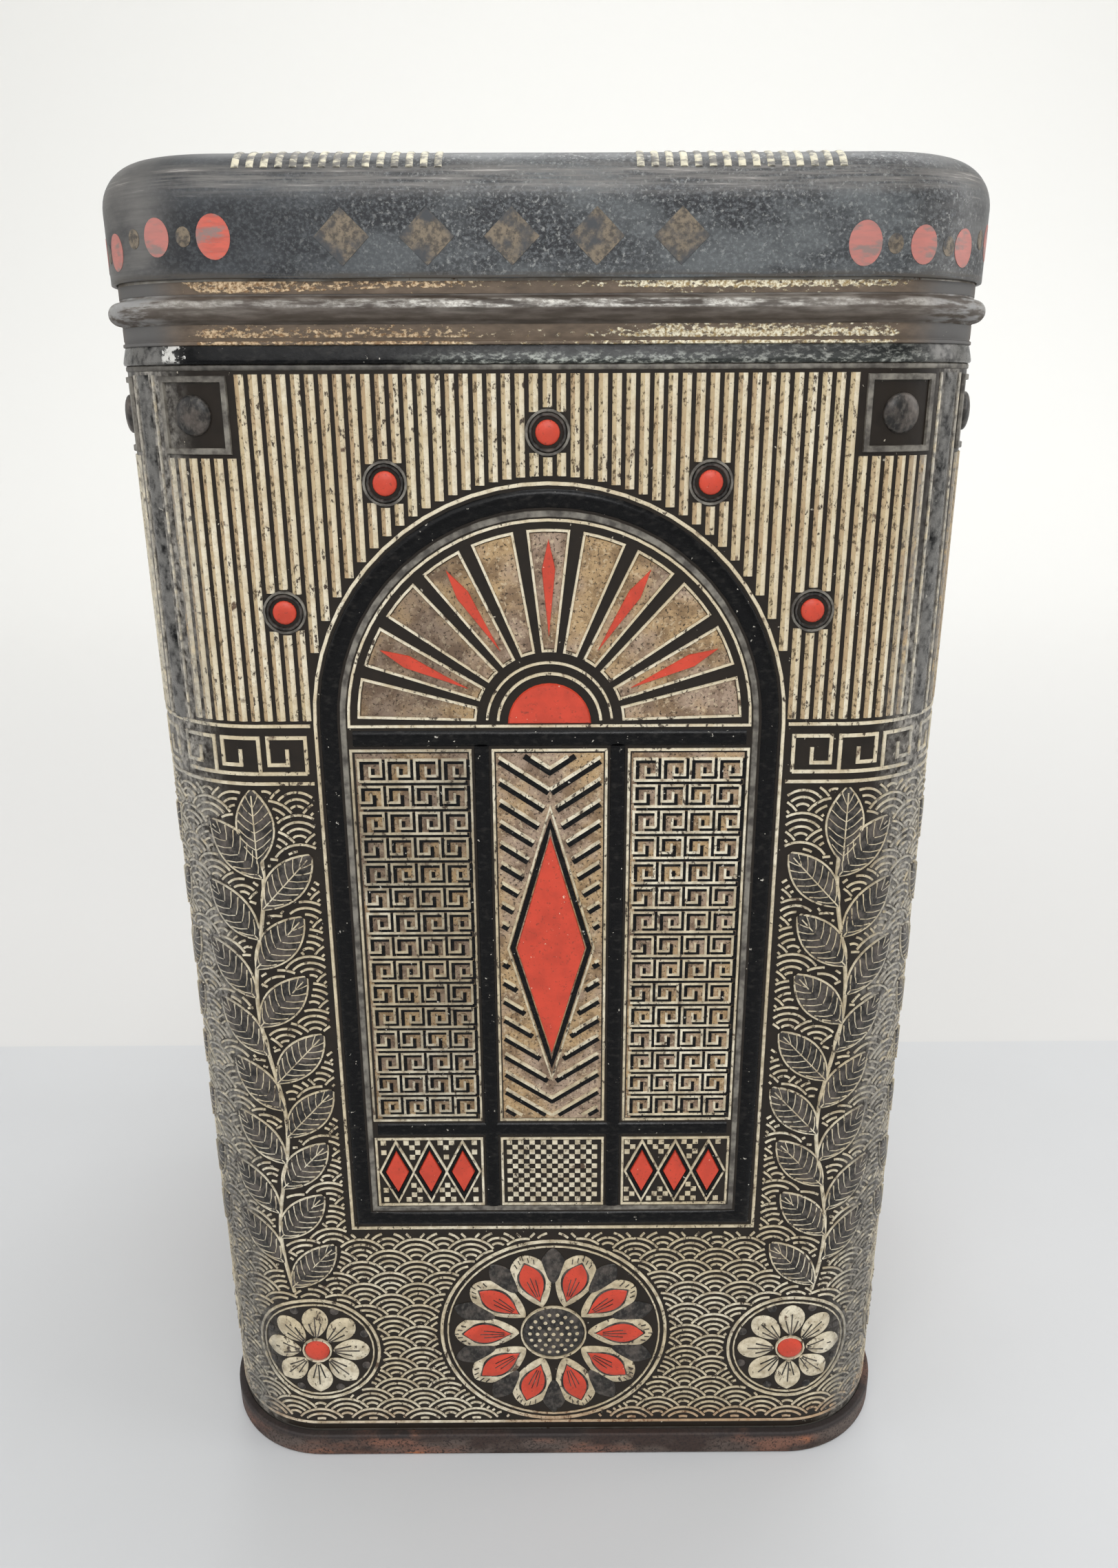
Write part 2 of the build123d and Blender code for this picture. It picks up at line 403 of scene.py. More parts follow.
black = Finish("black_lacquer", "#1B1A19", specular_ior_level=0.25)
where_held = black.z.between(152, 122) | black.x.between(-30, -45)
wear = black.corner_wear(41.0, 47.0) * where_held | black.corner_wear(45.2, 48.0)
scuffs = black.clouds(0.9, 5.0, (1, 1, 1.25), shift=9.0)
worn = wear * black.clouds(7.0, 5.0).between(0.20, 0.48) * scuffs.between(0.34, 0.58)
chips = black.clouds(0.8, 3.0, shift=21.0).between(0.70, 0.72)
rubbed_grain = black.clouds(1.1, 5.0, shift=70.0, rough=0.65).between(0.36, 0.64)
# the rubbed metal is painted darker towards the bottom
rubbed_tin = black.z.between(90, 40).blend(rubbed_grain.blend("#5E5B57", "#A09B92"),
                                           rubbed_grain.blend("#3F3D3A", "#847F77"))
black.set("#120E0A", (black.clouds(2.5, 4.0, shift=3.0), "#292119"), (worn, rubbed_tin),
          (chips, "#A79F90"),
          roughness=scuffs.spread(0.26, 0.52), metallic=worn.spread(0.0, 0.12),
          bumps=[(scuffs, 0.02), (black.clouds(4.0, 2.0, shift=5.0), 0.06)])

plain_heights = evenly(coat_foot, coat_head, 3.2)
for side, side_name in enumerate(side_names):
    coat = Work()
    parting = seam_groove if side == back else ()
    ends = (-side_half, *parting, side_half)
    for low, high in zip(ends[::2], ends[1::2]):
        add_sheet(coat, round_stops(low, high), plain_heights, coat_lift, coat_back)
    lay(f"black_coat_{side_name}", {side: coat}, black)


# Under the lid the wall is rolled out into a bead, between two strips of gold bronzing. Below
# them runs a rounded ridge in glossy black. The bronzing has flaked and gone brown in places.
bead_height, bead_projection, bead_crown, bead_root, half_sheet = 169.8, 1.5, 1.1, 0.5, 0.14
bead_turn = math.acos(1 - bead_projection / (bead_crown + bead_root))
bead_half = (bead_crown + bead_root) * math.sin(bead_turn)
bead_lift, print_lift, stretch_lift, stretch_reach = 0.015, 0.03, 0.02, 3.0


def round_stations():
    """Stations all the way round the tin, as a side and a place across it."""
    return [(side, a) for side in range(4) for a in round_stops(-side_half, side_half)[:-1]]


def hoop(name, line, depth, finish, place=on_the_tin):
    """Carries a line of out and height, going down, round the tin, with its depth behind it."""
    stations = round_stations()
    outline = line + [(out - depth, height) for out, height in reversed(line)]
    points = [place(side, a, height, out) for side, a in stations for out, height in outline]
    n, m = len(outline), len(stations)
    faces = [(i * n + j, i * n + (j + 1) % n, (i + 1) % m * n + (j + 1) % n, (i + 1) % m * n + j)
             for i in range(m) for j in range(n)]
    made = solid(name, points, faces, finish, crease=50)
    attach(made, "tin")


def bead_line():
    """Down over the outside of the bead: its upper root, its crown and its lower root."""
    crown, root = bead_crown + half_sheet + bead_lift, bead_root - half_sheet - bead_lift
    line = []
    for share in range(-20, 21):
        reach = abs(share) / 20 * 2
        turned = bead_turn * (2 - reach if reach > 1 else reach)
        if reach > 1:
            out = bead_root - half_sheet - root * math.cos(turned)
            up = bead_half - root * math.sin(turned)
        else:
            out = bead_projection - bead_crown - half_sheet + crown * math.cos(turned)
            up = crown * math.sin(turned)
        line.append((out, bead_height + (up if share < 0 else -up)))
    return line


def over_the_bead(side, across, height, out):
    """As on_the_tin, a little prouder round the corners, where the rolled sheet is stretched."""
    stretched = min(1.0, max(0.0, (abs(across) - flat_half) / stretch_reach))
    return on_the_tin(side, across, height, out + stretch_lift * stretched)


bead = Finish("rubbed_bead", "#5C554E", specular_ior_level=0.3)
streaks = bead.clouds(0.9, 5.0, (5, 5, 0.7))
streaked = streaks.between(0.35, 0.7)
stains = bead.clouds(7.0, 4.0, (2, 2, 1), shift=8.0).between(0.42, 0.64)
near_middle = abs(bead.x + -4.0).between(36, 12)
# a painted highlight along the upper part of the crown, in a fine grain, brightest near the middle of the
# front and back
crown_highlight = bead.z.band(bead_height - 0.05, bead_height + 0.3, bead_height + 0.75, bead_height + 1.2)
crown_highlight = crown_highlight * streaks.between(0.38, 0.60) * near_middle.spread(0.35, 1.0)
highlight_grain = bead.clouds(0.45, 5.0, (1.8, 1.8, 1), shift=30.0, rough=0.7).between(0.40, 0.62)
# the lower part of the bead is painted a darker tone than its ends, a painted shade under the crown
underside_shade = bead.z.between(bead_height - 0.2, bead_height - 0.9)
bare_corner = bead.corner_wear(41, 47) * streaks.between(0.4, 0.6)
bead_gloss = bead.clouds(0.6, 5.0, (2.5, 2.5, 1), shift=9.0, rough=0.7).spread(0.12, 0.72)
bead.set(streaked.blend("#5B544D", "#8D867E"), (near_middle, streaked.blend("#443E37", "#716A63")),
         (stains * 0.6, "#33271F"), (crown_highlight, highlight_grain.blend("#87827A", "#D2CFC6")),
         (underside_shade, streaked.blend("#4E463E", "#6B625A")), (bare_corner, "#8C8B89"),
         roughness=bead_gloss + underside_shade * 0.4,
         bumps=[(bead.clouds(0.4, 3.0), 0.015), (bead.clouds(2.4, 3.0, (2, 2, 1), shift=3.0), 0.05)])
hoop("bead", bead_line(), 0.02, bead, over_the_bead)

gold = Finish("gold_bronzing", "#C9B07A")
flecks = gold.clouds(0.46, 5.0, (1.7, 1.7, 0.85), rough=0.68)
lost = gold.clouds(17.0, 4.0, (1.2, 1.2, 1), shift=40.0).between(0.28, 0.72) * 0.65
lost = lost | abs(gold.x + 1.0).between(17.0, 3.0)
strip_edge = gold.z + gold.x.between(-14, -32).spread(0.0, 0.45)
under_the_lid = strip_edge.between(172.15, 171.85) * gold.z.between(169.0, 170.0)
by_the_bead = gold.z.band(167.2, 168.1, 169.0, 170.0)
parting = gold.z.band(166.4, 166.5, 166.7, 166.85)
gone = flecks + lost * 0.22 + under_the_lid * 0.2 + parting * 0.3 + by_the_bead * 0.12
gone = (gone + gold.corner_wear(38, 43) * 0.3).between(0.575, 0.665)
bright_flecks = gold.clouds(0.35, 4.0, shift=2.0).between(0.36, 0.62)
browned = gold.clouds(1.1, 5.0, (2, 2, 0.8), shift=14.0).blend("#272019", "#877461")
gold.set(bright_flecks.blend("#A48C60", "#F6EED4"),
         (gold.x.between(4, -16), bright_flecks.blend("#88694A", "#DCC29E")),
         (gone, gold.corner_wear(40, 46).blend(browned, "#5B5957")),
         roughness=gone.spread(0.36, 0.62), metallic=gone.spread(0.55, 0.1),
         bumps=[(gone, -0.03), (gold.clouds(0.45, 3.0), 0.02)])
lower_strip = ((0.05, 168.2), (0.05, 166.75), (0, 166.7), (0, 166.5),
               (0.20, 166.4), (0.20, 166.1), (0, 166.0))
upper_strip = ((0.05, 172.7), (0.05, 171.4))
for name, strip in (("gold_strip_lower", lower_strip), ("gold_strip_upper", upper_strip)):
    hoop(name, [(print_lift + out, height) for out, height in strip], 0.03, gold)

ridge_foot, ridge_head, ridge_rise = 163.95, 166.0, 0.42
ridge_form = ((0, 0), (0.06, 0.12), (0.2, 0.30), (0.4, 0.55), (0.6, 0.78),
              (0.75, 0.93), (0.85, 1), (0.93, 0.92), (0.98, 0.6), (1, 0))
gloss_black = Finish("gloss_black", "#151617", specular_ior_level=0.16)
x, y, z = gloss_black.x, gloss_black.y, gloss_black.z
rub = gloss_black.corner_wear(41, 47) * gloss_black.clouds(1.5, 5.0).between(0.3, 0.6)
dust = gloss_black.clouds(0.5, 5.0, (2, 2, 1), shift=6.0)
nicks = gloss_black.clouds(0.8, 3.0, shift=48.0).between(0.70, 0.72)
chip = (abs(x + 43.2) + gloss_black.clouds(1.1, 4.0, shift=83.0, rough=0.7) * 7.0).between(4.4, 4.0)
chip = chip * y.between(-48, -49) * z.between(ridge_foot, ridge_foot + 0.6)
# on the front of the ridge, grey scratches are painted along its lower part down to the foot, from a
# little left of the middle to the right end, and fainter over all of it towards the right: part scuffing,
# part painted highlight
scuff_and_highlight = x.between(-19, -5) * y.between(-50, -52) * z.between(ridge_foot - 0.2, ridge_foot + 0.1)
scuff_and_highlight = scuff_and_highlight * (z.between(ridge_foot + 1.7, ridge_foot + 0.65) | x.between(8, 24).spread(0.0, 0.45))
highlight_scratches = gloss_black.clouds(0.42, 5.0, (2.2, 2.2, 1), shift=35.0, rough=0.72).between(0.46, 0.66)
scuff_and_highlight_tone = highlight_scratches.blend("#2F312F", x.between(10, 26).blend("#A0A39B", "#92938C"))
gloss_black.set("#060607", (dust.between(0.50, 0.80), "#282624"), (nicks, "#B4AFA4"), (chip, "#D2D0CA"),
                (scuff_and_highlight, scuff_and_highlight_tone), (rub * 0.8, "#7E7C78"),
                roughness=dust.spread(0.14, 0.42), metallic=rub.spread(0.0, 0.4),
                bumps=[(dust, 0.018), (gloss_black.clouds(2.2, 3.0, (1.6, 1.6, 1)), 0.06)])
ridge_line = [(print_lift + ridge_rise * share, ridge_head - (ridge_head - ridge_foot) * down)
              for down, share in ridge_form]
hoop("black_ridge", ridge_line, 0.03, gloss_black)

grey_line = Finish("grey_line", "#7B776E", roughness=0.5)
line_scuffs = grey_line.clouds(0.9, 5.0, (1.6, 1.6, 1.6))
left_end = grey_line.x.between(-14, -22) * grey_line.z.between(162, 163) * 0.5
grey_line.set("#3D3832", (line_scuffs.between(0.32, 0.68), "#7D786E"), (left_end, "#2B2825"),
              bumps=[(line_scuffs, 0.02)])
hoop("grey_line_upper", [(0.1, 163.95), (0.24, 163.8), (0.24, 163.42), (0.1, 163.3)], 0.05, grey_line)


# Round the top of each side runs a field of upright reeds, pressed out of the sheet and printed
# cream. A corner bar in black closes it on each side.
reed_foot, reed_head, reed_width, reed_rise, reed_count = 121.6, 162.9, 1.16, 0.30, 61
reed_pitch = 2 * side_half / reed_count
bar_half, bar_rise = 1.5, 0.3
reed_edge = side_half - bar_half - 1.1
arch_half, arch_spring, arch_foot = 30.0, 121.0, 43.0
arch_middle = (0, arch_spring)
stud_clear, stud_orbit = 2.8, 35.4
studs = [polar(arch_middle, stud_orbit, t) for t in (24, 57, 90, 123, 156)]
block_half, block_across, block_height = 4.0, 41.3, 158.4
square_form = [(1, 0), (0.74, 1), (-0.74, 1), (-1, 0)]
round_form = [(1, 0), (0.82, 0.55), (0.45, 0.9), (-0.45, 0.9), (-0.82, 0.55), (-1, 0)]
reed_form = [(1, 0), (0.86, 0.5), (0.5, 0.85), (0.05, 0.95), (-0.5, 0.85), (-0.86, 0.5), (-1, 0)]
sunk = 0.02
arch_gap, block_gap = 0.5, 0.8
least_step, least_run, halvings = 0.05, 0.35, 9


def way_to(start, stop):
    return Vector((stop[0] - start[0], stop[1] - start[1]))


def mitre(came, goes, least):
    """At a corner, the way to the left of it, and how much of a step to the left counts along it."""
    way = (came + goes).normalized()
    left = Vector((-way.y, way.x))
    return left, max(least, left.dot(Vector((-came.y, came.x))))


def add_strip(work, path, width, rise, form=square_form, closed=False, foot=sunk, shaded_part=0):
    """A raised line with mitred corners: the given form across it, its left part in the shade's finish."""
    count, points = len(path), []
    for i, (a, h) in enumerate(path):
        near = [path[k % count] for k in (i - 1, i, i + 1) if closed or 0 <= k < count]
        ways = [way_to(start, stop) for start, stop in zip(near, near[1:])]
        ways = [way.normalized() for way in ways if way.length > 1e-6]
        left, counts = mitre(ways[0], ways[-1], 0.45)
        reach = 1 / counts
        for share, level in form:
            off = share * width / 2 * reach
            points.append((a + left.x * off, h + left.y * off, foot + (rise - foot) * level))
    n = len(form)
    faces, backs, shaded = [], [], []
    for i in range(count if closed else count - 1):
        here, there = i * n, (i + 1) % count * n
        for j in range(n - 1):
            face = (here + j + 1, there + j + 1, there + j, here + j)
            (shaded if j < shaded_part else faces).append(face)
        backs.append((here, there, there + n - 1, here + n - 1))
    if not closed:
        backs += [[0] + list(range(n - 1, 0, -1)), [(count - 1) * n + j for j in range(n)]]
    work.add(points, faces, backs, shaded)


def outside_arch(across, height):
    """How far a place is outside the arched panel."""
    beside = abs(across) - arch_half
    if height >= arch_spring:
        return math.hypot(across, height - arch_spring) - arch_half
    below = arch_foot - height
    return math.hypot(beside, below) if beside > 0 and below > 0 else max(beside, below)


def off_the_seam(side, across, height=0.0):
    return side != back or not seam_strip[0] < across < seam_strip[1]


def open_runs(at, steps, clear):
    """The stretches of a path that are clear, each cut off exactly where it stops being clear."""
    runs, run = [], []
    was, was_clear = 0.0, clear(*at(0.0))
    if was_clear:
        run.append(at(0.0))
    for i in range(1, steps + 1):
        now = i / steps
        now_clear = clear(*at(now))
        if now_clear != was_clear:
            yes, no = (was, now) if was_clear else (now, was)
            for halving in range(halvings):
                middle = (yes + no) / 2
                yes, no = (middle, no) if clear(*at(middle)) else (yes, middle)
            run.append(at(yes))
            if was_clear:
                runs.append(run)
                run = []
        if now_clear:
            run.append(at(now))
        was, was_clear = now, now_clear
    if run:
        runs.append(run)
    parted = []
    for run in runs:
        kept = [run[0]] + [b for a, b in zip(run, run[1:]) if math.dist(a, b) > least_step]
        if len(kept) > 1 and math.dist(kept[0], kept[-1]) > least_run:
            parted.append(kept)
    return parted


def in_the_reeds(side, across, height):
    """Tells whether a reed can stand at a place, clear of panel, seam, studs and corner blocks."""
    if outside_arch(across, height) < arch_gap or not off_the_seam(side, across):
        return False
    if any(math.hypot(across - a, height - h) < stud_clear for a, h in studs):
        return False
    return max(abs(abs(across) - block_across), abs(height - block_height)) > block_half + block_gap


cream_enamel = Finish("cream_enamel", "#C9BC9A", specular_ior_level=0.4)
x, y, z = cream_enamel.x, cream_enamel.y, cream_enamel.z
fading = cream_enamel.clouds(22.0, 4.0)
mottle = cream_enamel.clouds(1.6, 5.0, shift=17.0)
grain = cream_enamel.clouds(0.32, 3.0, shift=33.0)
dirty = cream_enamel.clouds(15.0, 4.0, shift=23.0).between(0.36, 0.66)
specks = cream_enamel.clouds(0.6, 5.0, (1, 1, 1.7), shift=55.0, rough=0.7)
specks = (specks + dirty * 0.06).between(0.61, 0.67)
blots = cream_enamel.clouds(2.6, 5.0, shift=71.0).between(0.64, 0.73)
# the cream is darker towards the bottom, below the frieze
low_darkening = z.between(119.0, 109.0) * mottle.between(0.36, 0.66).spread(0.0, 0.32)
left_stain = x.band(-29.0, -26.0, -12.0, -7.0) * y.between(-50.0, -51.5)
left_stain = left_stain * z.band(60.0, 64.0, 118.0, 121.0)
foot_stain = z.between(10.0, 6.0) * fading.between(0.3, 0.6) * 0.55
cream_gone = cream_enamel.clouds(1.4, 5.0, shift=80.0).between(0.30, 0.52)
cream_gone = cream_gone * cream_enamel.corner_wear(41.0, 47.0)
rubbed_cream = cream_enamel.clouds(0.9, 5.0, shift=77.0, rough=0.65).between(0.34, 0.56)
# the rubbed metal at the corners is darker towards the bottom
rubbed_tone = z.between(90, 40).blend(rubbed_cream.blend("#66635E", "#B2AC9F"),
                                      rubbed_cream.blend("#4C4A46", "#908B81"))
cream_enamel.set("#DFD6BF", (fading.between(0.35, 0.65), "#C9BA9A"),
                 (mottle.between(0.4, 0.75), "#BFAE8F"), (grain.between(0.45, 0.8) * 0.4, "#8B7B60"),
                 (specks, "#43372C"), (blots, "#5A4636"), (low_darkening, "#4E4436"),
                 (left_stain * dirty.spread(0.18, 0.5), "#43372A"), (foot_stain, "#A87B58"),
                 (cream_gone, rubbed_tone),
                 roughness=mottle.spread(0.36, 0.6), metallic=cream_gone.spread(0.0, 0.25),
                 bumps=[(grain, 0.02), (specks, -0.04)])

reed_shade = Finish("reed_shade", "#9A8562", specular_ior_level=0.35)
shade_patch = reed_shade.clouds(11.0, 4.0, shift=52.0).between(0.36, 0.64)
shade_dots = reed_shade.clouds(0.45, 5.0, (1, 1, 1.5), shift=7.0, rough=0.7).between(0.50, 0.64)
tan_gone = reed_shade.corner_wear(41.0, 47.0) * reed_shade.clouds(1.3, 5.0, shift=66.0).between(0.32, 0.52)
reed_shade.set("#BFAC88", (shade_patch, "#AB9270"), (shade_dots, "#54452F"), (tan_gone, "#777571"),
               roughness=shade_dots.spread(0.42, 0.66), bumps=[(shade_dots, -0.03)])

for side, side_name in enumerate(side_names):
    reeds = Work()
    for i in range(reed_count):
        across = -side_half + (i + 0.5) * reed_pitch
        if abs(across) > reed_edge:
            continue
        upward = lambda share: (across, reed_foot + (reed_head - reed_foot) * share)
        for run in open_runs(upward, 90, partial(in_the_reeds, side)):
            stops = [run[0]] + [point for point in run[6:-6:12]] + [run[-1]]
            add_strip(reeds, stops, reed_width, reed_rise, reed_form, shaded_part=3)
    lay(f"reeding_{side_name}", {side: reeds}, cream_enamel, crease=60, shade=reed_shade)


# Each side has a tall round-headed panel in the middle: a glossy black moulding between cream
# keylines, with bars of the same moulding that part it into columns.
moulding_inset, moulding_width, moulding_rise, sill_width, post_width = 2.05, 2.3, 0.42, 2.2, 2.0
keyline_rise, line_rise, shadow_rise = 0.24, 0.34, 0.27
column_edge, column_foot, bar_across, bar_gap = 25.0, 47.4, 8.7, 1.45
sill_heights = (119.2, 60.6)
frieze_foot, frieze_head = 113.6, 120.4
frame_half, frame_gap, frame_foot = 25.4, 1.6, 47.6
keyline_inset, keyline_width, frame_width, border_width = 0.35, 0.5, 0.40, 0.5
outline_step = 6.0


def arch_path(inset):
    """The panel's outline, moved in by the inset, anticlockwise from its left foot."""
    half = arch_half - inset
    path = [(a, arch_foot + inset) for a in evenly(-half, half, outline_step)]
    path += [(half, h) for h in evenly(arch_foot + inset, arch_spring, 8.0)[1:]]
    path += [polar(arch_middle, half, t) for t in range(6, 180, 6)]
    path += [(-half, h) for h in evenly(arch_spring, arch_foot + inset, 8.0)[:-1]]
    return path


def straight(start, stop, step=8.0):
    """A straight path with enough stops on it to follow the wall."""
    count = len(evenly(0, math.dist(start, stop), step)) - 1
    return [(start[0] + (stop[0] - start[0]) * i / count, start[1] + (stop[1] - start[1]) * i / count)
            for i in range(count + 1)]


def add_clear_strip(work, path, width, rise, clear, form=square_form):
    """A raised line along a path, only where the side is clear."""
    fine = path[:1]
    for start, stop in zip(path, path[1:]):
        fine += straight(start, stop, 2.0)[1:]
    if all(clear(*point) and clear((point[0] + after[0]) / 2, (point[1] + after[1]) / 2)
           for point, after in zip(fine, fine[1:] + fine[-1:])):
        add_strip(work, fine, width, rise, form)
        return
    lengths = [0.0]
    for start, stop in zip(path, path[1:]):
        lengths.append(lengths[-1] + math.dist(start, stop))

    def at(share):
        gone = share * lengths[-1]
        k = next((i for i in range(1, len(lengths) - 1) if lengths[i] >= gone), len(lengths) - 1)
        part = (gone - lengths[k - 1]) / (lengths[k] - lengths[k - 1])
        (a0, h0), (a1, h1) = path[k - 1], path[k]
        return a0 + (a1 - a0) * part, h0 + (h1 - h0) * part

    for run in open_runs(at, max(4, int(lengths[-1] / 0.6)), clear):
        add_strip(work, run, width, rise, form)


def beside_the_seam(side, outline):
    """A closed outline, or on the back what is left of it on both sides of the seam."""
    if side != back:
        return [outline]
    parts = []
    for edge, way in zip(seam_strip, (-1, 1)):
        part = []
        for (a0, h0), (a1, h1) in zip(outline[-1:] + outline[:-1], outline):
            if (a0 - edge) * (a1 - edge) < 0:
                part.append((edge, h0 + (h1 - h0) * (edge - a0) / (a1 - a0)))
            if (a1 - edge) * way >= 0:
                part.append((a1, h1))
        part = [b for a, b in zip(part[-1:] + part[:-1], part) if math.dist(a, b) > least_step]
        if len(part) > 2 and max(a for a, h in part) - min(a for a, h in part) > 0.6:
            parts.append(part)
    return parts


def closed_line(work, side, outline, width, rise):
    """A closed raised line, open on the back where the seam crosses it."""
    path = []
    for start, stop in zip(outline, outline[1:] + outline[:1]):
        path += straight(start, stop, 3.0)[:-1]
    if all(off_the_seam(side, a) for a, h in path):
        add_strip(work, path, width, rise, closed=True)
    else:
        add_clear_strip(work, path + path[:1], width, rise, partial(off_the_seam, side))


def one_work_a_side():
    return {side: Work() for side in range(4)}


mouldings = one_work_a_side()
for side, work in mouldings.items():
    clear = partial(off_the_seam, side)
    outline = arch_path(moulding_inset)
    if side == back:
        foot_middle = len(evenly(0, 2 * (arch_half - moulding_inset), outline_step)) // 2
        outline = outline[foot_middle:] + outline[:foot_middle + 1]
        add_clear_strip(work, outline, moulding_width, moulding_rise, clear, round_form)
    else:
        add_strip(work, outline, moulding_width, moulding_rise, round_form, closed=True)
    for height in sill_heights:
        sill = straight((-column_edge, height), (column_edge, height), 4.0)
        add_clear_strip(work, sill, sill_width, moulding_rise, clear, round_form)
    for across in (-bar_across, bar_across):
        post = straight((across, column_foot), (across, sill_heights[0] - 1))
        add_clear_strip(work, post, post_width, moulding_rise, clear, round_form)
    corner_bar = straight((side_half, reed_foot - 0.6), (side_half, reed_head))
    add_strip(work, corner_bar, 2 * bar_half, bar_rise, round_form)

checker_square, checker_foot, checker_rows, checker_rise, checker_bevel = 0.82, 48.05, 13, 0.2, 0.06
checker_columns = ((-24.8, -10.4), (-6.6, 6.6), (10.4, 24.8))
key_cell, key_rows, key_count, key_across, key_foot = 3.6, 15, 4, 17.7, 63.1
key_path = ((0, 0), (0, 4), (4, 4), (4, 1), (2, 1), (2, 2.75))
key_width, key_shadow_width, key_shadow = 0.42, 0.74, (0.32, -0.28)
frieze_keys, frieze_width, upright_width = 3, 0.55, 0.4
foot_line_height, foot_line_width = 5.75, 0.42
chevron_half, chevron_foot, chevron_head, chevron_pitch, chevron_climb = 6.5, 63, 116.8, 2.9, 4.4
chevron_width, chevron_shadow_width, chevron_shadow = 0.52, 0.90, 0.62
jewel = (0.0, 89.5, 4.7, 16.5)
jewel_rim, jewel_line_width, jewel_shadow_width = 1.25, 0.36, 0.80
jewels = [jewel] + [(sign * (17.775 + step * 4.8), 53.4, 1.75, 3.7)
                    for sign in (-1, 1) for step in (-1, 0, 1)]


def add_key_row(work, left, foot, cells, pitch, width, rise, clear, flip=1):
    """A running key along a row of cells; flip is -1 where it runs the other way."""
    for cell in range(cells):
        start = left + flip * cell * 5 * pitch
        key = [(start + flip * u * pitch, foot + v * pitch) for u, v in key_path]
        add_clear_strip(work, key, width, rise, clear)
    foot_line = straight((left, foot), (left + flip * (5 * cells - 1) * pitch, foot), 2.0)
    add_clear_strip(work, foot_line, width, rise, clear)


def add_plate(work, outline, rise, bevel=0.12, foot=sunk):
    """A raised plate with bevelled edges over an anticlockwise outline."""
    n = len(outline)
    points = [(a, h, foot) for a, h in outline]
    for i, (a, h) in enumerate(outline):
        came = way_to(outline[i - 1], (a, h)).normalized()
        left, counts = mitre(came, way_to((a, h), outline[(i + 1) % n]).normalized(), 0.4)
        points.append((a + left.x * (bevel / counts), h + left.y * (bevel / counts), rise))
    faces = [(i, (i + 1) % n, n + (i + 1) % n, n + i) for i in range(n)] + [list(range(n, 2 * n))]
    work.add(points, faces, [list(range(n - 1, -1, -1))])


def oblong(low, high, foot, head):
    return [(low, foot), (high, foot), (high, head), (low, head)]


def lozenge(across, height, half_width, half_height):
    return [(across - half_width, height), (across, height - half_height),
            (across + half_width, height), (across, height + half_height)]


def clear_of_jewels(a, h, margin):
    for across, height, half_width, half_height in jewels:
        slope = math.hypot(1 / half_width, 1 / half_height)
        if abs(a - across) / half_width + abs(h - height) / half_height < 1 + margin * slope:
            return False
    return True


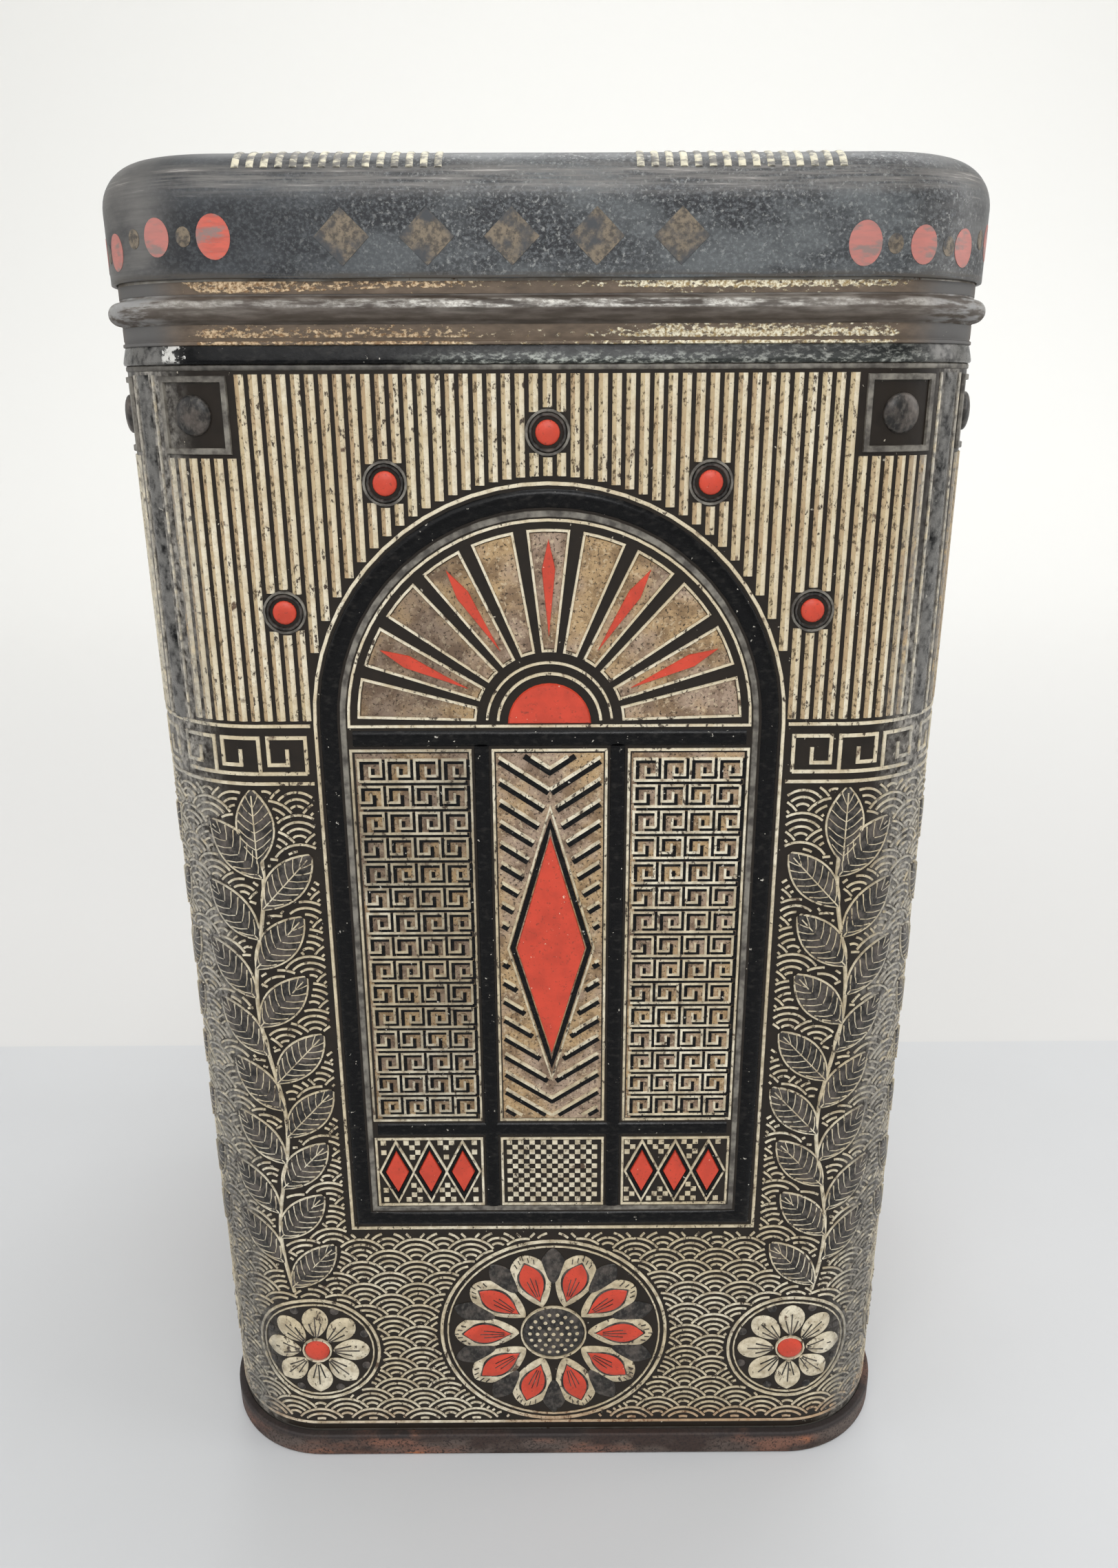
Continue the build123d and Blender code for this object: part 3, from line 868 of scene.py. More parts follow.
keylines = one_work_a_side()
for side, work in keylines.items():
    shade = mouldings[side]
    clear = partial(off_the_seam, side)
    closed_line(work, side, arch_path(keyline_inset), keyline_width, keyline_rise)
    burst_foot = sill_heights[0] + frame_gap
    dome = arc(arch_middle, frame_half, 0, 180, 5)
    frames = [[(frame_half, burst_foot), *dome, (-frame_half, burst_foot)]]
    inner_edge, outer_edge = bar_across - bar_gap, bar_across + bar_gap
    for low, high in ((-frame_half, -outer_edge), (-inner_edge, inner_edge), (outer_edge, frame_half)):
        for foot, head in ((sill_heights[1] + frame_gap, sill_heights[0] - frame_gap),
                           (frame_foot, sill_heights[1] - frame_gap)):
            frames.append(oblong(low, high, foot, head))
    for outline in frames:
        closed_line(work, side, outline, frame_width, keyline_rise)
    # a frieze of keys parts the reeds from the fans, on both sides of the panel
    for sign in (-1, 1):
        side_clear = lambda a, h: clear(a) and outside_arch(a, h) > 0.3
        for height in (frieze_foot - 0.4, frieze_head + 0.5):
            border = straight((sign * (arch_half - 1), height), (sign * side_half, height), 1.2)
            add_clear_strip(work, border, border_width, keyline_rise, side_clear)
        pitch = (side_half - arch_half - 1.2) / (5 * frieze_keys)
        add_key_row(work, sign * (arch_half + 1.1), frieze_foot + 0.95, frieze_keys, pitch,
                    frieze_width, keyline_rise, side_clear, sign)
        upright = sign * (reed_edge + 0.35)
        upright_line = straight((upright, reed_foot - 0.3), (upright, reed_head))
        add_strip(work, upright_line, upright_width, keyline_rise)
    foot_line = straight((-side_half, foot_line_height), (side_half, foot_line_height), 1.2)
    add_strip(work, foot_line, foot_line_width, keyline_rise)
    # the side columns hold running keys, row over row
    for sign in (-1, 1):
        pitch = key_cell / 5
        for row in range(key_rows):
            flip = 1 if row % 2 == 0 else -1
            left = sign * key_across - flip * (5 * key_count - 1) / 2 * pitch
            foot = key_foot + row * key_cell
            add_key_row(work, left, foot, key_count, pitch, key_width, line_rise, clear, flip)
            add_key_row(shade, left + key_shadow[0], foot + key_shadow[1], key_count, pitch,
                        key_shadow_width, shadow_rise, clear, flip)
    # chevrons climb the middle column, parted by the tall red lozenge
    column_clear = lambda a, h: (clear(a) and clear_of_jewels(a, h, jewel_rim + 0.55)
                                 and abs(a) < chevron_half and chevron_foot < h < chevron_head)
    for i in range(-2, 20):
        height = chevron_foot + i * chevron_pitch
        ends = height + chevron_climb
        chevron = [(-chevron_half, ends), (0, height), (chevron_half, ends)]
        add_clear_strip(work, chevron, chevron_width, line_rise, column_clear)
        under = [(a, h - chevron_shadow) for a, h in chevron]
        add_clear_strip(shade, under, chevron_shadow_width, shadow_rise, column_clear)
    for across, height, half_width, half_height in jewels:
        slope = math.hypot(1 / half_width, 1 / half_height)
        rim, dark = (grow * slope + 1 for grow in ((1.05, 0.45) if half_width > 3 else (0.62, 0.3)))
        for lines, grow, width, level in ((work, rim, jewel_line_width, line_rise),
                                          (shade, dark, jewel_shadow_width, shadow_rise)):
            outline = lozenge(across, height, half_width * grow, half_height * grow)
            closed_line(lines, side, outline, width, level)
    # the foot of every column is checkered
    for low, high in checker_columns:
        for i in range(int((high - low) / checker_square)):
            for j in range(checker_rows):
                a, h = low + i * checker_square, checker_foot + j * checker_square
                middle = (a + checker_square / 2, h + checker_square / 2)
                if (i + j) % 2 == 0 and clear(*middle) and clear_of_jewels(*middle, jewel_rim):
                    square = oblong(a, a + checker_square, h, h + checker_square)
                    add_plate(work, square, checker_rise, checker_bevel)
lay("black_mouldings", mouldings, gloss_black, crease=60)


# The ground inside each column, and the rays of the sunburst over them, are stippled tan.
# Each ray has a cream keyline round it, and two cream arches span the half sun under them.
tan_rise = 0.15
tan_columns = ((-24.9, -10.5), (-6.9, 6.9), (10.5, 24.9))
burst_middle, burst_rays, burst_inner, burst_outer = (0, 121.1), 11, 9.6, 23.9
ray_turn, ray_half, ray_line_half, ray_line_width = 180 / burst_rays, 5.6, 5.9, 0.36
sun_radius, sun_arches = 5.3, ((6.5, 0.42), (7.9, 0.36))


def ray_outline(middle, half_turn, inner, outer):
    """One ray of the sunburst, anticlockwise and a little narrower at its inner end."""
    return (arc(burst_middle, outer, middle - half_turn, middle + half_turn, 4)
            + arc(burst_middle, inner, middle + half_turn * 0.8, middle - half_turn * 0.8, 4))


tan_stipple = Finish("tan_stipple", "#9C8669", specular_ior_level=0.35)
big = tan_stipple.clouds(9.0, 4.0, shift=3.0)
stipple = tan_stipple.clouds(0.42, 4.0, shift=12.0, rough=0.7)
brown = tan_stipple.clouds(2.6, 5.0, shift=27.0).between(0.44, 0.62) * 0.62
pale = tan_stipple.clouds(0.5, 4.0, shift=41.0).between(0.55, 0.66) * 0.5
tan_stain = tan_stipple.x.between(-7.0, -12.0) * tan_stipple.y.between(-50.0, -51.5)
tan_stain = tan_stain * big.between(0.35, 0.65).spread(0.2, 0.5)
tan_stipple.set("#AC9069", (big.between(0.40, 0.60), "#9E8976"), (brown, "#573F2A"),
                (stipple.between(0.53, 0.63), "#35281D"), (pale, "#CDBB9C"), (tan_stain, "#3B2D20"),
                roughness=stipple.spread(0.42, 0.72),
                bumps=[(stipple, -0.05), (tan_stipple.clouds(1.2, 3.0, shift=8.0), 0.03)])

grounds = one_work_a_side()
for side, work in grounds.items():
    heights = evenly(sill_heights[1] + 1.9, sill_heights[0] - 2.0, 4.0)
    for low, high in tan_columns:
        cut = side == back and low < 0 < high
        for start, stop in ((low, seam_strip[0]), (seam_strip[1], high)) if cut else ((low, high),):
            add_sheet(work, evenly(start, stop, 3.0), heights, tan_rise, sunk)
    for i in range(burst_rays):
        middle = (i + 0.5) * ray_turn
        for part in beside_the_seam(side, ray_outline(middle, ray_half, burst_inner, burst_outer)):
            add_plate(work, part, tan_rise + 0.03)
        ray_line = ray_outline(middle, ray_line_half, burst_inner - 0.2, burst_outer + 0.2)
        closed_line(keylines[side], side, ray_line, ray_line_width, line_rise)
    for radius, width in sun_arches:
        sun_arch = arc(burst_middle, radius, 4, 176, 6)
        add_clear_strip(keylines[side], sun_arch, width, line_rise, partial(off_the_seam, side))
lay("tan_grounds", grounds, tan_stipple)
for side, work in keylines.items():
    lay(f"cream_lines_{side_names[side]}", {side: work}, cream_enamel)


# Below the panel's shoulders, and all round its foot, the wall is covered with a close pattern of
# overlapping fans in cream. Over it stand branches of laurel and round flowers.
fan_radius = 2 * side_half / 24
fan_rings = (0.985, 0.755, 0.525, 0.295)
fan_line = 0.35
field_foot, field_head, field_gap, leaf_gap = 6.5, 112.4, 0.75, 0.55
flower, petal_count = (0.0, 23.6, 17.2), 10
small_flowers, small_petal_count = ((-36.6, 20.4, 9.6), (36.6, 20.4, 9.6)), 8
petal_turn, small_petal_turn = 360 / petal_count, 360 / small_petal_count
stem_foot, stem_head = 31.5, 111.0
stem_width, stem_rise = 0.62, 0.34
leaf_long, leaf_half, leaf_rise, leaf_lean, leaf_fullness = 10.4, 2.5, 0.42, 42.0, 0.75
leaf_line, midrib_width, midrib_rise, vein_width, vein_rise = 0.3, 0.22, 0.5, 0.15, 0.44
boss_radius, boss_rise, block_line, block_rise = 2.3, 0.95, 0.8, 0.40
inner_inset, inner_width, inner_rise = 3.85, 0.85, 0.22
eye_radius, eye_rise, seed_radius = 4.7, 0.62, 0.42


def stem(height):
    """Where the laurel's stem is, across the side."""
    return 39.3 + 1.3 * math.sin((height - stem_foot) / (stem_head - stem_foot) * 4 * math.pi)


leaves = []
for i in range(16):
    start = stem_foot + 1.0 + i * 4.5
    leaves.append((stem(start), start, leaf_lean if i % 2 else -leaf_lean))
leaves.append((stem(stem_head - 4), stem_head - 9.0, 0.0))


def leaf_place(sign, leaf, along, beside):
    across, height, lean = leaf
    turned = math.radians(lean)
    return (sign * (across + along * math.sin(turned) + beside * math.cos(turned)),
            height + along * math.cos(turned) - beside * math.sin(turned))


def on_a_leaf(across, height, margin):
    for leaf in leaves:
        turned = math.radians(leaf[2])
        x, y = across - leaf[0], height - leaf[1]
        if x * x + y * y > 180:  # further off than a leaf is long
            continue
        along = x * math.sin(turned) + y * math.cos(turned)
        beside = x * math.cos(turned) - y * math.sin(turned)
        share = (along + margin) / (leaf_long + 2 * margin)
        if 0 < share < 1:
            if abs(beside) < leaf_half * math.sin(math.pi * share) ** leaf_fullness + margin:
                return True
    return False


def in_the_field(side, fan, across, height):
    """Tells whether a place is open for a fan, and not under the fans in front of it."""
    if not field_foot < height < field_head or outside_arch(across, height) < field_gap:
        return False
    if abs(across) > side_half or not off_the_seam(side, across):
        return False
    a, h = fan
    fronts = ((a - fan_radius, h - fan_radius / 2), (a + fan_radius, h - fan_radius / 2),
              (a, h - fan_radius))
    if any(math.hypot(across - a, height - h) < fan_radius * 1.07 for a, h in fronts):
        return False
    flowers = small_flowers if side == back else (flower, *small_flowers)
    if any(math.hypot(across - a, height - h) < radius + field_gap for a, h, radius in flowers):
        return False
    if abs(abs(across) - stem(height)) < field_gap and stem_foot < height < stem_head:
        return False
    return not on_a_leaf(abs(across), height, leaf_gap)


def add_round(work, centre, radius, width, rise, sides, form=square_form, shaded_part=0):
    ring = [polar(centre, radius, 360 * i / sides) for i in range(sides)]
    add_strip(work, ring, width, rise, form, closed=True, shaded_part=shaded_part)


def add_dome(work, centre, radius, rise, rings=4, sides=20, foot=sunk, rim=0.35, tall=1.0):
    """A round boss: a short upright rim under a low dome. It can be taller than it is wide."""
    def around(reach, level):
        circle = (polar((0, 0), reach, 360 * i / sides) for i in range(sides))
        return [(centre[0] + a, centre[1] + h * tall, level) for a, h in circle]
    points = around(radius, foot)
    for ring in range(rings):
        turned = math.pi / 2 * ring / rings
        level = foot + (rise - foot) * (rim + (1 - rim) * math.sin(turned))
        points += around(radius * math.cos(turned), level)
    points.append((*centre, rise))
    faces = [(k + i, k + (i + 1) % sides, k + sides + (i + 1) % sides, k + sides + i)
             for k in range(0, rings * sides, sides) for i in range(sides)]
    faces += [(rings * sides + i, rings * sides + (i + 1) % sides, len(points) - 1) for i in range(sides)]
    work.add(points, faces, [list(range(sides - 1, -1, -1))])


def add_blade(work, place, long, half_width, rise, fullness=leaf_fullness, steps=12, edge=0.16, skew=1.0):
    """A leaf or petal, domed across its width; place turns along and beside into a spot."""
    rows = []
    for i in range(steps + 1):
        share = 0.5 - 0.499 * math.cos(math.pi * i / steps)
        half = half_width * math.sin(math.pi * share ** skew) ** fullness
        row = []
        for beside in (j / 3 - 1 for j in range(7)):
            level = edge + (rise - edge) * (1 - beside * beside) ** 0.6
            row.append((*place(share * long, beside * half), level))
        rows.append(row)
    add_shell(work, rows, sunk)


def petal(centre, start, degrees):
    """Gives the places along and beside a petal that starts a little off its flower's middle."""
    x, y = polar((0, 0), 1, degrees)

    def place(along, beside):
        out = start + along
        return centre[0] + x * out - y * beside, centre[1] + y * out + x * beside
    return place


def add_petals(work, centre, count, start, *sizes, **form):
    """A ring of petals that start a little off their flower's middle."""
    for i in range(count):
        add_blade(work, petal(centre, start, 360 / count * i), *sizes, **form)


grey_relief = Finish("grey_relief", "#4A4946", specular_ior_level=0.45)
hatch = grey_relief.clouds(0.5, 4.0, (1, 1, 1.6), shift=15.0)
high_rub = grey_relief.clouds(2.2, 5.0, shift=19.0).between(0.42, 0.66) * 0.35
grey_relief.set("#191715", (hatch.between(0.44, 0.68), "#48443F"), (high_rub, "#7E736A"),
                (grey_relief.corner_wear(46, 51), hatch.blend("#3E3C3A", "#8F8B84")),
                roughness=hatch.spread(0.30, 0.55), metallic=0.2, bumps=[(hatch, 0.03)])

dark_relief = one_work_a_side()
for side, work in dark_relief.items():
    for sign in (-1, 1):
        for leaf in leaves:
            place = lambda along, beside: leaf_place(sign, leaf, along, beside * sign)
            add_blade(work, place, leaf_long, leaf_half, leaf_rise)
        middle = (sign * block_across, block_height)
        add_dome(work, middle, boss_radius, boss_rise, 6, 28, rim=0.2)
        block = oblong(middle[0] - block_half, middle[0] + block_half,
                       middle[1] - block_half, middle[1] + block_half)
        edges = [spot for start, stop in zip(block, block[1:] + block[:1])
                 for spot in straight(start, stop, 0.9)[:-1]]
        add_strip(work, edges, block_line, block_rise, closed=True, shaded_part=3)
    inner_line = arch_path(inner_inset)
    if side == back:
        add_clear_strip(work, inner_line + inner_line[:1], inner_width, inner_rise,
                        partial(off_the_seam, side))
    else:
        add_strip(work, inner_line, inner_width, inner_rise, closed=True, shaded_part=3)
    for spot in studs:
        if off_the_seam(side, spot[0]):
            add_round(work, spot, 2.05, 0.50, 0.40, 24, round_form)
            add_round(work, spot, 2.5, 0.36, 0.34, 24, shaded_part=3)
    for i in range(0 if side == back else petal_count):
        add_blade(work, petal(flower, 9.4, petal_turn * (i + 0.5)), 6.6, 1.9, 0.3)
        under_red = petal(flower, 6.25, petal_turn * i)
        add_blade(work, under_red, 7.9, 2.1, 0.44, 0.8, 18, edge=0.34, skew=1.2)
        for beside in (-0.55, 0.0, 0.55):
            vein = ((1.3, beside * 0.5), (3.2, beside), (5.0 - abs(beside), beside * 1.2))
            add_strip(work, [under_red(*spot) for spot in vein], 0.17, 0.58, foot=0.3)
        for beside in (-1.5, -0.75, 0.0, 0.75, 1.5):
            start = 8.3 - abs(beside) * 0.75
            tick = [under_red(start, beside * 0.9), under_red(start + 0.75, beside)]
            add_strip(work, tick, 0.16, 0.46, foot=0.2)
    for a, h, radius in small_flowers:
        for i in range(small_petal_count):
            turned = small_petal_turn * i
            add_dome(work, polar((a, h), radius * 0.84, turned + small_petal_turn / 2), 0.7, 0.32, 2, 10)
            for turn, stop in ((0, 6.6), (-10, 5.4), (10, 5.4)):
                vein = [polar((a, h), 2.7, turned + turn * 0.5), polar((a, h), stop, turned + turn)]
                add_strip(work, vein, 0.24, 0.43, foot=0.15)
    if side != back:
        add_dome(work, flower[:2], eye_radius, eye_rise, 5, 28)
lay("grey_relief", dark_relief, grey_relief, crease=50, shade=grey_line)

ornament = one_work_a_side()
fan_rows = int((field_head + fan_radius - field_foot) / (fan_radius / 2)) + 2
for side, work in ornament.items():
    for row in range(fan_rows):
        height = field_foot - fan_radius + row * fan_radius / 2
        for i in range(-13, 14):
            across = i * fan_radius
            if (i + row) % 2 or outside_arch(across, height + 2) < -fan_radius * 1.2:
                continue
            for ring in fan_rings:
                def at(share):
                    turned = math.radians(-88 + 176 * share)
                    radius = fan_radius * ring
                    return across + radius * math.sin(turned), height + radius * math.cos(turned)
                for run in open_runs(at, 16, partial(in_the_field, side, (across, height))):
                    add_strip(work, run, fan_line, keyline_rise)
    for sign in (-1, 1):
        stem_line = [(sign * stem(h), h) for h in evenly(stem_foot, stem_head - 8, 2.5)]
        add_strip(work, stem_line, stem_width, stem_rise, round_form)
        for leaf in leaves:
            place = partial(leaf_place, sign, leaf)
            edge = [place(leaf_long * t, way * leaf_half * math.sin(math.pi * t) ** leaf_fullness)
                    for way, start, stop in ((1, 0.02, 0.98), (-1, 0.98, 0.02))
                    for t in evenly(start, stop, 0.09)]
            add_strip(work, edge, leaf_line, keyline_rise, closed=True)
            midrib = [place(0.2, 0), place(leaf_long * 0.93, 0)]
            add_strip(work, midrib, midrib_width, midrib_rise)
            for k in range(7):
                start = leaf_long * (0.09 + 0.115 * k)
                share = min(0.97, (start + 1.4) / leaf_long)
                reach = leaf_half * 0.88 * math.sin(math.pi * share) ** leaf_fullness
                for way in (-1, 1):
                    vein = [place(start, 0.1 * way), place(start + 0.6, 0.5 * reach * way),
                            place(start + 1.6, reach * way)]
                    add_strip(work, vein, vein_width, vein_rise, foot=0.1)
    for a, h, radius in small_flowers:
        for inset, width in ((0, 0.5), (0.85, 0.26)):
            add_round(work, (a, h), radius - inset, width, keyline_rise, 36)
        add_petals(work, (a, h), small_petal_count, 2.5, radius - 4.0, 2.0, 0.36, 0.52, 20, skew=1.25)
        add_round(work, (a, h), 2.15, 0.3, 0.4, 16)
    if side == back:
        continue
    for inset, width in ((0, 0.55), (0.95, 0.28)):
        add_round(work, flower[:2], flower[2] - inset, width, keyline_rise, 60)
    add_petals(work, flower, petal_count, 5.3, 9.9, 3.0, 0.40, 0.5, 24, skew=1.35)
    for ring, count in ((0, 1), (1.25, 6), (2.45, 12), (3.6, 18)):
        level = eye_rise * math.sqrt(max(0.2, 1 - (ring / eye_radius) ** 2))
        for seed in arc(flower[:2], ring, 0, 360, 360 / count)[:-1]:
            add_dome(work, seed, seed_radius, level + 0.16, 2, 8, foot=0.2)
    add_round(work, flower[:2], 4.95, 0.3, 0.4, 30)
for side, work in ornament.items():
    lay(f"cream_ornament_{side_names[side]}", {side: work}, cream_enamel, crease=40)


# Red is printed last, on the raised studs, lozenges and rays and in the flowers' petals. It has
# held up better than the other inks, and is only rubbed away at the corners.
red_enamel = Finish("red_enamel", "#D5452D", specular_ior_level=0.45)
red_patches = red_enamel.clouds(3.0, 4.0, shift=5.0)
red_grain = red_enamel.clouds(0.4, 4.0, shift=61.0)
red_specks = red_enamel.clouds(0.5, 4.0, shift=90.0).between(0.70, 0.73)
red_gone = red_enamel.corner_wear(39, 46) * red_enamel.clouds(1.2, 4.0, shift=31.0).between(0.3, 0.5)
red_enamel.set("#C8412A", (red_patches.between(0.35, 0.7), "#B33924"),
               (red_grain.between(0.58, 0.70), "#8E3423"), (red_specks, "#E3C9B0"), (red_gone, "#7A6A66"),
               roughness=red_grain.spread(0.32, 0.55), bumps=[(red_grain, 0.02)])

ray_flame = ((11.0, 0), (19.5, -2.6), (23.2, 0), (19.5, 2.6))
reds = one_work_a_side()
for side, work in reds.items():
    for spot in studs:
        if off_the_seam(side, spot[0]):
            add_dome(work, spot, 1.45, 0.62)
    plates = [(lozenge(*spot), 0.40, 0.16) for spot in jewels]
    for i in range(1, burst_rays, 2):
        flame = [polar(burst_middle, radius, (i + 0.5) * ray_turn + turn) for radius, turn in ray_flame]
        plates.append((flame, 0.38, 0.12))
    plates.append((arc(burst_middle, sun_radius, 0, 180), 0.42, 0.2))
    for outline, rise, bevel in plates:
        for part in beside_the_seam(side, outline):
            add_plate(work, part, rise, bevel)
    if side != back:
        add_petals(work, flower, petal_count, 6.6, 7.2, 1.75, 0.54, 0.8, 18, edge=0.40, skew=1.2)
    for a, h, radius in small_flowers:
        add_dome(work, (a, h), 1.9, 0.6, 3, 16)
lay("red_enamel", reds, red_enamel, crease=50)


# The lid is drawn in one piece, with a rounded edge and a hemmed skirt that slips over the neck.
# It is lacquered blue-black, and its rounded edge is rubbed to a hazy grey, with a band round it
# painted lighter as a painted highlight.
lid_foot, lid_height, lid_edge = 172.947, 13.3, 5.3
skirt_out, hem_in, skirt_in, hem_height = 0.82, 0.22, 0.54, 3.2
lid_sheet, lid_sag, lid_wave = 0.28, 0.13, 0.14
edge_start, lid_top = lid_foot + lid_height - lid_edge, lid_foot + lid_height
skirt_run = edge_start - lid_foot
edge_run = lid_edge * math.pi / 2


def lid_profile(along):
    """The lid's outside at a distance up from its foot: its place, and which way it faces."""
    if along <= skirt_run:
        return skirt_out, lid_foot + along, 1.0, 0.0
    if along <= skirt_run + edge_run:
        turned = (along - skirt_run) / lid_edge
        return (skirt_out - lid_edge * (1 - math.cos(turned)), edge_start + lid_edge * math.sin(turned),
                math.cos(turned), math.sin(turned))
    return skirt_out - lid_edge - (along - skirt_run - edge_run), lid_top, 0.0, 1.0


def lid_spot(side, across, out, height, faces_out, faces_up, proud):
    """A place on the lid, with the slight dents and wavy foot of a lid that is often pulled off."""
    x, y, z = on_the_tin(side, across, height, out)
    settled = min(1.0, max(0.0, (out - skirt_out + lid_edge + 8.0) / 8.0))
    dents = (0.5 + 0.5 * settled * noise.noise(Vector((x, y, z)) * 1000 / 17.0)) * lid_sag
    near_foot = max(0.0, 1 - (height - lid_foot) / 2.5) if faces_up < 0.5 else 0.0
    wave = noise.noise(Vector((x, y, 0.5)) * 1000 / 13.0) * lid_wave * near_foot
    proud -= dents
    return on_the_tin(side, across, height + wave + faces_up * proud, out + faces_out * proud)


def on_the_lid(side, across, along, proud):
    return lid_spot(side, across, *lid_profile(along), proud)


blue_black = Finish("blue_black_lacquer", "#34363A", specular_ior_level=0.45)
z = blue_black.z
haze = blue_black.clouds(9.0, 5.0, (1.8, 1.8, 0.8))
speckle = blue_black.clouds(0.40, 5.0, (1.2, 1.2, 1), shift=23.0, rough=0.7)
streak = blue_black.clouds(0.7, 5.0, (12, 12, 0.55), shift=2.0, rough=0.65)
dusty = blue_black.x.between(-42, -4)
pale_grains = blue_black.clouds(0.55, 4.0, shift=51.0, rough=0.7).between(0.55, 0.66) * dusty * 0.85
lid_haze = haze.between(0.42, 0.62) * dusty.spread(0.25, 0.55)
# a band across the rounded edge is painted a lighter grey with brighter streaks, a painted highlight over
# real rubbing
edge_rub_and_highlight = z.band(180.6, 183.0, 183.9, 185.4)
top_rub = z.between(184.6, 186.2) * haze.between(0.44, 0.70)
held_corner = blue_black.corner_wear(38, 46) * blue_black.x.between(-36, -46).spread(0.5, 0.95)
rubs_and_highlight = edge_rub_and_highlight * streak.between(0.30, 0.62) | top_rub * 0.4 | held_corner * haze.between(0.3, 0.6)
hem_rust = z.between(lid_foot + 0.9, lid_foot + 0.2) * streak.between(0.35, 0.6)
blue_black.set("#1A1C20", (speckle.between(0.44, 0.66) * dusty.spread(0.35, 1.0), "#5B5E60"),
               (pale_grains, "#8E8F8C"), (lid_haze, dusty.blend("#5A5F63", "#6B6F70")),
               (rubs_and_highlight, streak.blend("#474543", "#7A7773")),
               (edge_rub_and_highlight * streak.between(0.60, 0.70), "#98948F"), (hem_rust, "#4B4640"),
               roughness=speckle.spread(0.32, 0.55), metallic=rubs_and_highlight.spread(0.05, 0.25),
               bumps=[(speckle, 0.015), (blue_black.clouds(6.0, 2.0, (1.6, 1.6, 1)), 0.08)])

# the lid's section: up its outside and in over the top, then back under it and round the hem
outside = [(out, lid_foot + up, 1.0, 0.0) for out, up in ((0.36, 0), (0.70, 0), (0.79, 0.05))]
outside += [lid_profile(along) for along in evenly(0.15, skirt_run, 0.8)]
outside += [lid_profile(skirt_run + edge_run * i / 14) for i in range(1, 15)]
outside += [lid_profile(skirt_run + edge_run + inward) for inward in evenly(0.8, 10.4, 1.6)]
inner_radius = lid_edge - lid_sheet
inside = [(spot[0], lid_top - lid_sheet, 0.0, 1.0) for spot in reversed(outside[-7:])]
for turned in [math.pi / 2 * (1 - i / 10) for i in range(11)]:
    forward, upward = math.cos(turned), math.sin(turned)
    inside.append((skirt_in - inner_radius * (1 - forward), edge_start + inner_radius * upward,
                   forward, upward))
hem = ((skirt_in, 6.0), (skirt_in, 4.5), (skirt_in, 3.25), (0.50, hem_height), (0.26, hem_height),
       (hem_in, 3.15), (hem_in, 1.6), (hem_in, 0.12), (0.28, 0.02))
inside += [(out, lid_foot + up, 1.0, 0.0) for out, up in hem]
stations = round_stations()
section = outside + inside
lid_points = [lid_spot(side, a, *spot, 0.0) for side, a in stations for spot in section]
n, m = len(section), len(stations)
top_ring, under_ring = len(outside) - 1, len(outside)
lid_faces, lid_inner = [], []
for i in range(m):
    here, there = i * n, (i + 1) % m * n
    for j in range(n):
        if j != top_ring:
            face = (here + j, there + j, there + (j + 1) % n, here + (j + 1) % n)
            (lid_faces if j < top_ring or j > n - 3 else lid_inner).append(face)
lid_faces.append([i * n + top_ring for i in range(m)])
lid_inner.append([(m - 1 - i) * n + under_ring for i in range(m)])
lid_shell = solid("lid_shell", lid_points, lid_faces, blue_black, 50, lid_inner, bare_tin)
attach(lid_shell, "lid")
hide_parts("lid")


# Two blocks of cream reeding cross the rounded edge on each side of the lid and run on to its
# top. Red discs with small dots between them go round every corner of the skirt, and five worn
# bronze lozenges stand between the corners.
lid_shift, lid_sunk = -0.7, -0.02
edge_reed_pitch, edge_reed_width, edge_reed_count, edge_reed_rise = 1.587, 0.86, 15, 0.16
edge_reed_foot, edge_reed_head = skirt_run + lid_edge * math.radians(38), skirt_run + edge_run + 7.0
disc_height, disc_tilt, disc_lift = 3.82, -0.012, 0.05
discs = ((-42.6, 1.6), (-36.0, 1.85), (36.0, 1.85), (42.6, 1.6), (side_half + lid_shift, 1.6))
dot_places, dot_radius = (-45.9, -39.3, 39.3, 45.9), 0.85
mark_count, mark_pitch, mark_shift, mark_wide, mark_tall = 5, 9.4, -3.1, 3.1, 3.0

lid_reeds, lid_discs, lid_marks = one_work_a_side(), one_work_a_side(), one_work_a_side()
for side in range(4):
    for start in (-33.3, 33.3 - edge_reed_pitch * (edge_reed_count - 1)):
        for i in range(edge_reed_count):
            across = start + i * edge_reed_pitch + lid_shift
            reed = straight((across, edge_reed_foot), (across, edge_reed_head), 0.8)
            add_strip(lid_reeds[side], reed, edge_reed_width, edge_reed_rise, round_form, foot=lid_sunk)
    rounds = [(lid_discs, across, radius, 3, 28, 1.26) for across, radius in discs]
    rounds += [(lid_marks, across, dot_radius, 2, 14, 1.24) for across in dot_places]
    for works, across, radius, rings, sides, tall in rounds:
        spot = (across + lid_shift, disc_height + disc_tilt * across)
        add_dome(works[side], spot, radius, disc_lift, rings, sides, lid_sunk, 0.9, tall)
    for i in range(mark_count):
        across = lid_shift + mark_shift + (i - 2) * mark_pitch
        mark = lozenge(across, disc_height + 0.4, mark_wide, mark_tall)
        add_plate(lid_marks[side], mark, disc_lift, 0.03, lid_sunk)

worn_bronze = Finish("worn_bronze", "#6B6050", metallic=0.2)
fleck = worn_bronze.clouds(0.7, 5.0, shift=13.0, rough=0.7)
lost_print = worn_bronze.clouds(3.4, 5.0, shift=44.0).between(0.42, 0.62)
worn_bronze.set("#7D705E", (fleck.between(0.40, 0.62), "#4A443C"), (lost_print, "#3E4043"),
                roughness=fleck.spread(0.38, 0.6), bumps=[(fleck, 0.02)])

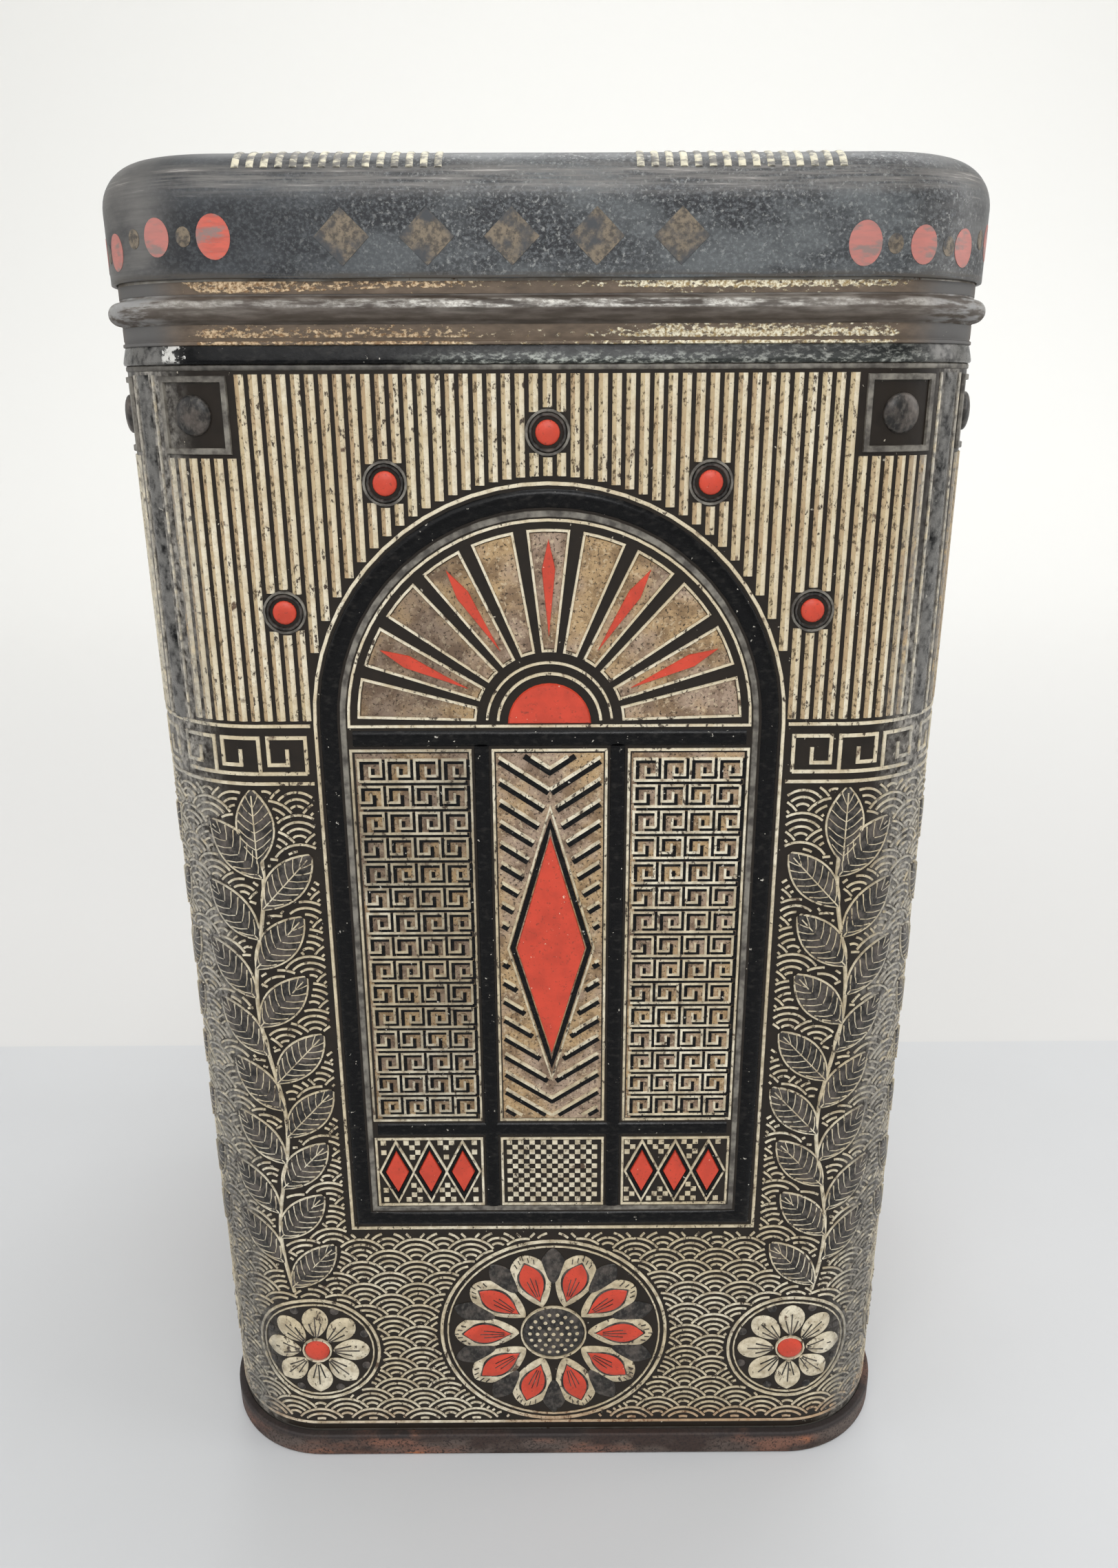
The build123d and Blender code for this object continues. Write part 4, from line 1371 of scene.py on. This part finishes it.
lid_red = Finish("worn_lid_red", "#C4574B")
red_streak = lid_red.clouds(0.9, 5.0, (3.0, 3.0, 0.6), shift=7.0)
faded = (lid_red.corner_wear(37, 40) | lid_red.x.between(-10, 20)) * 0.55
rubbed = lid_red.clouds(1.7, 5.0, (2, 2, 0.8), shift=37.0).between(0.50, 0.66)
lid_red.set("#C95C4A", (red_streak.between(0.35, 0.65), "#AC5547"), (faded, "#A67F79"),
            (rubbed, "#86706A"),
            roughness=red_streak.spread(0.36, 0.6), bumps=[(red_streak, 0.02)])

lid_cream = Finish("worn_lid_cream", "#BDB69F", specular_ior_level=0.4)
cream_streak = lid_cream.clouds(0.8, 5.0, (2.2, 2.2, 0.8), shift=19.0, rough=0.65)
thin_cream = cream_streak + lid_cream.clouds(5.0, 4.0, shift=83.0).between(0.36, 0.66) * 0.12
lid_cream.set("#CFC8B0", (thin_cream.between(0.46, 0.66), "#6F6C66"),
              roughness=cream_streak.spread(0.35, 0.6), bumps=[(cream_streak, -0.03)])


lid_middle, flower_rise, lid_petals = (0, 50), 0.14, 16


def on_the_lid_top(side, across, up, proud):
    """A place on the flat of the lid, drawn round the lid's middle."""
    return across / 1000, (up - lid_middle[1]) / 1000, (lid_top - 0.5 * lid_sag + proud) / 1000


# nobody sees the lid's flat from the front, so its round flower in a double frame is a guess
lid_flower = Work()
for half, width in ((33.0, 0.8), (31.2, 0.4)):
    corner = 9.0 * half / 33
    bend = [polar((half - corner, half - corner), corner, t) for t in range(0, 91, 9)]
    ring = [(across, lid_middle[1] + up) for turned in range(4)
            for across, up in (((x, y), (-y, x), (-x, -y), (y, -x))[turned] for x, y in bend)]
    add_strip(lid_flower, ring, width, flower_rise, closed=True, foot=lid_sunk)
for radius, width in ((19.0, 0.7), (17.6, 0.35), (5.2, 0.4)):
    add_round(lid_flower, lid_middle, radius, width, flower_rise, 64)
add_petals(lid_flower, lid_middle, lid_petals, 6.0, 10.4, 1.75, 0.16, 0.6, 16, edge=0.08, skew=1.35)
for ring, count in ((0, 1), (1.7, 6), (3.4, 12)):
    for seed in arc(lid_middle, ring, 0, 360, 360 / count)[:-1]:
        add_dome(lid_flower, seed, 0.5, 0.16, 2, 10, foot=lid_sunk)

for name, works, finish, place, crease in (("lid_flower", {0: lid_flower}, lid_cream, on_the_lid_top, 50),
                                           ("lid_reeding", lid_reeds, lid_cream, on_the_lid, 60),
                                           ("lid_red_discs", lid_discs, lid_red, on_the_lid, 50),
                                           ("lid_marks", lid_marks, worn_bronze, on_the_lid, 50)):
    lay(name, works, finish, "lid", place, crease)

[list(corner) for corner in (*cad_box, *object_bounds())]
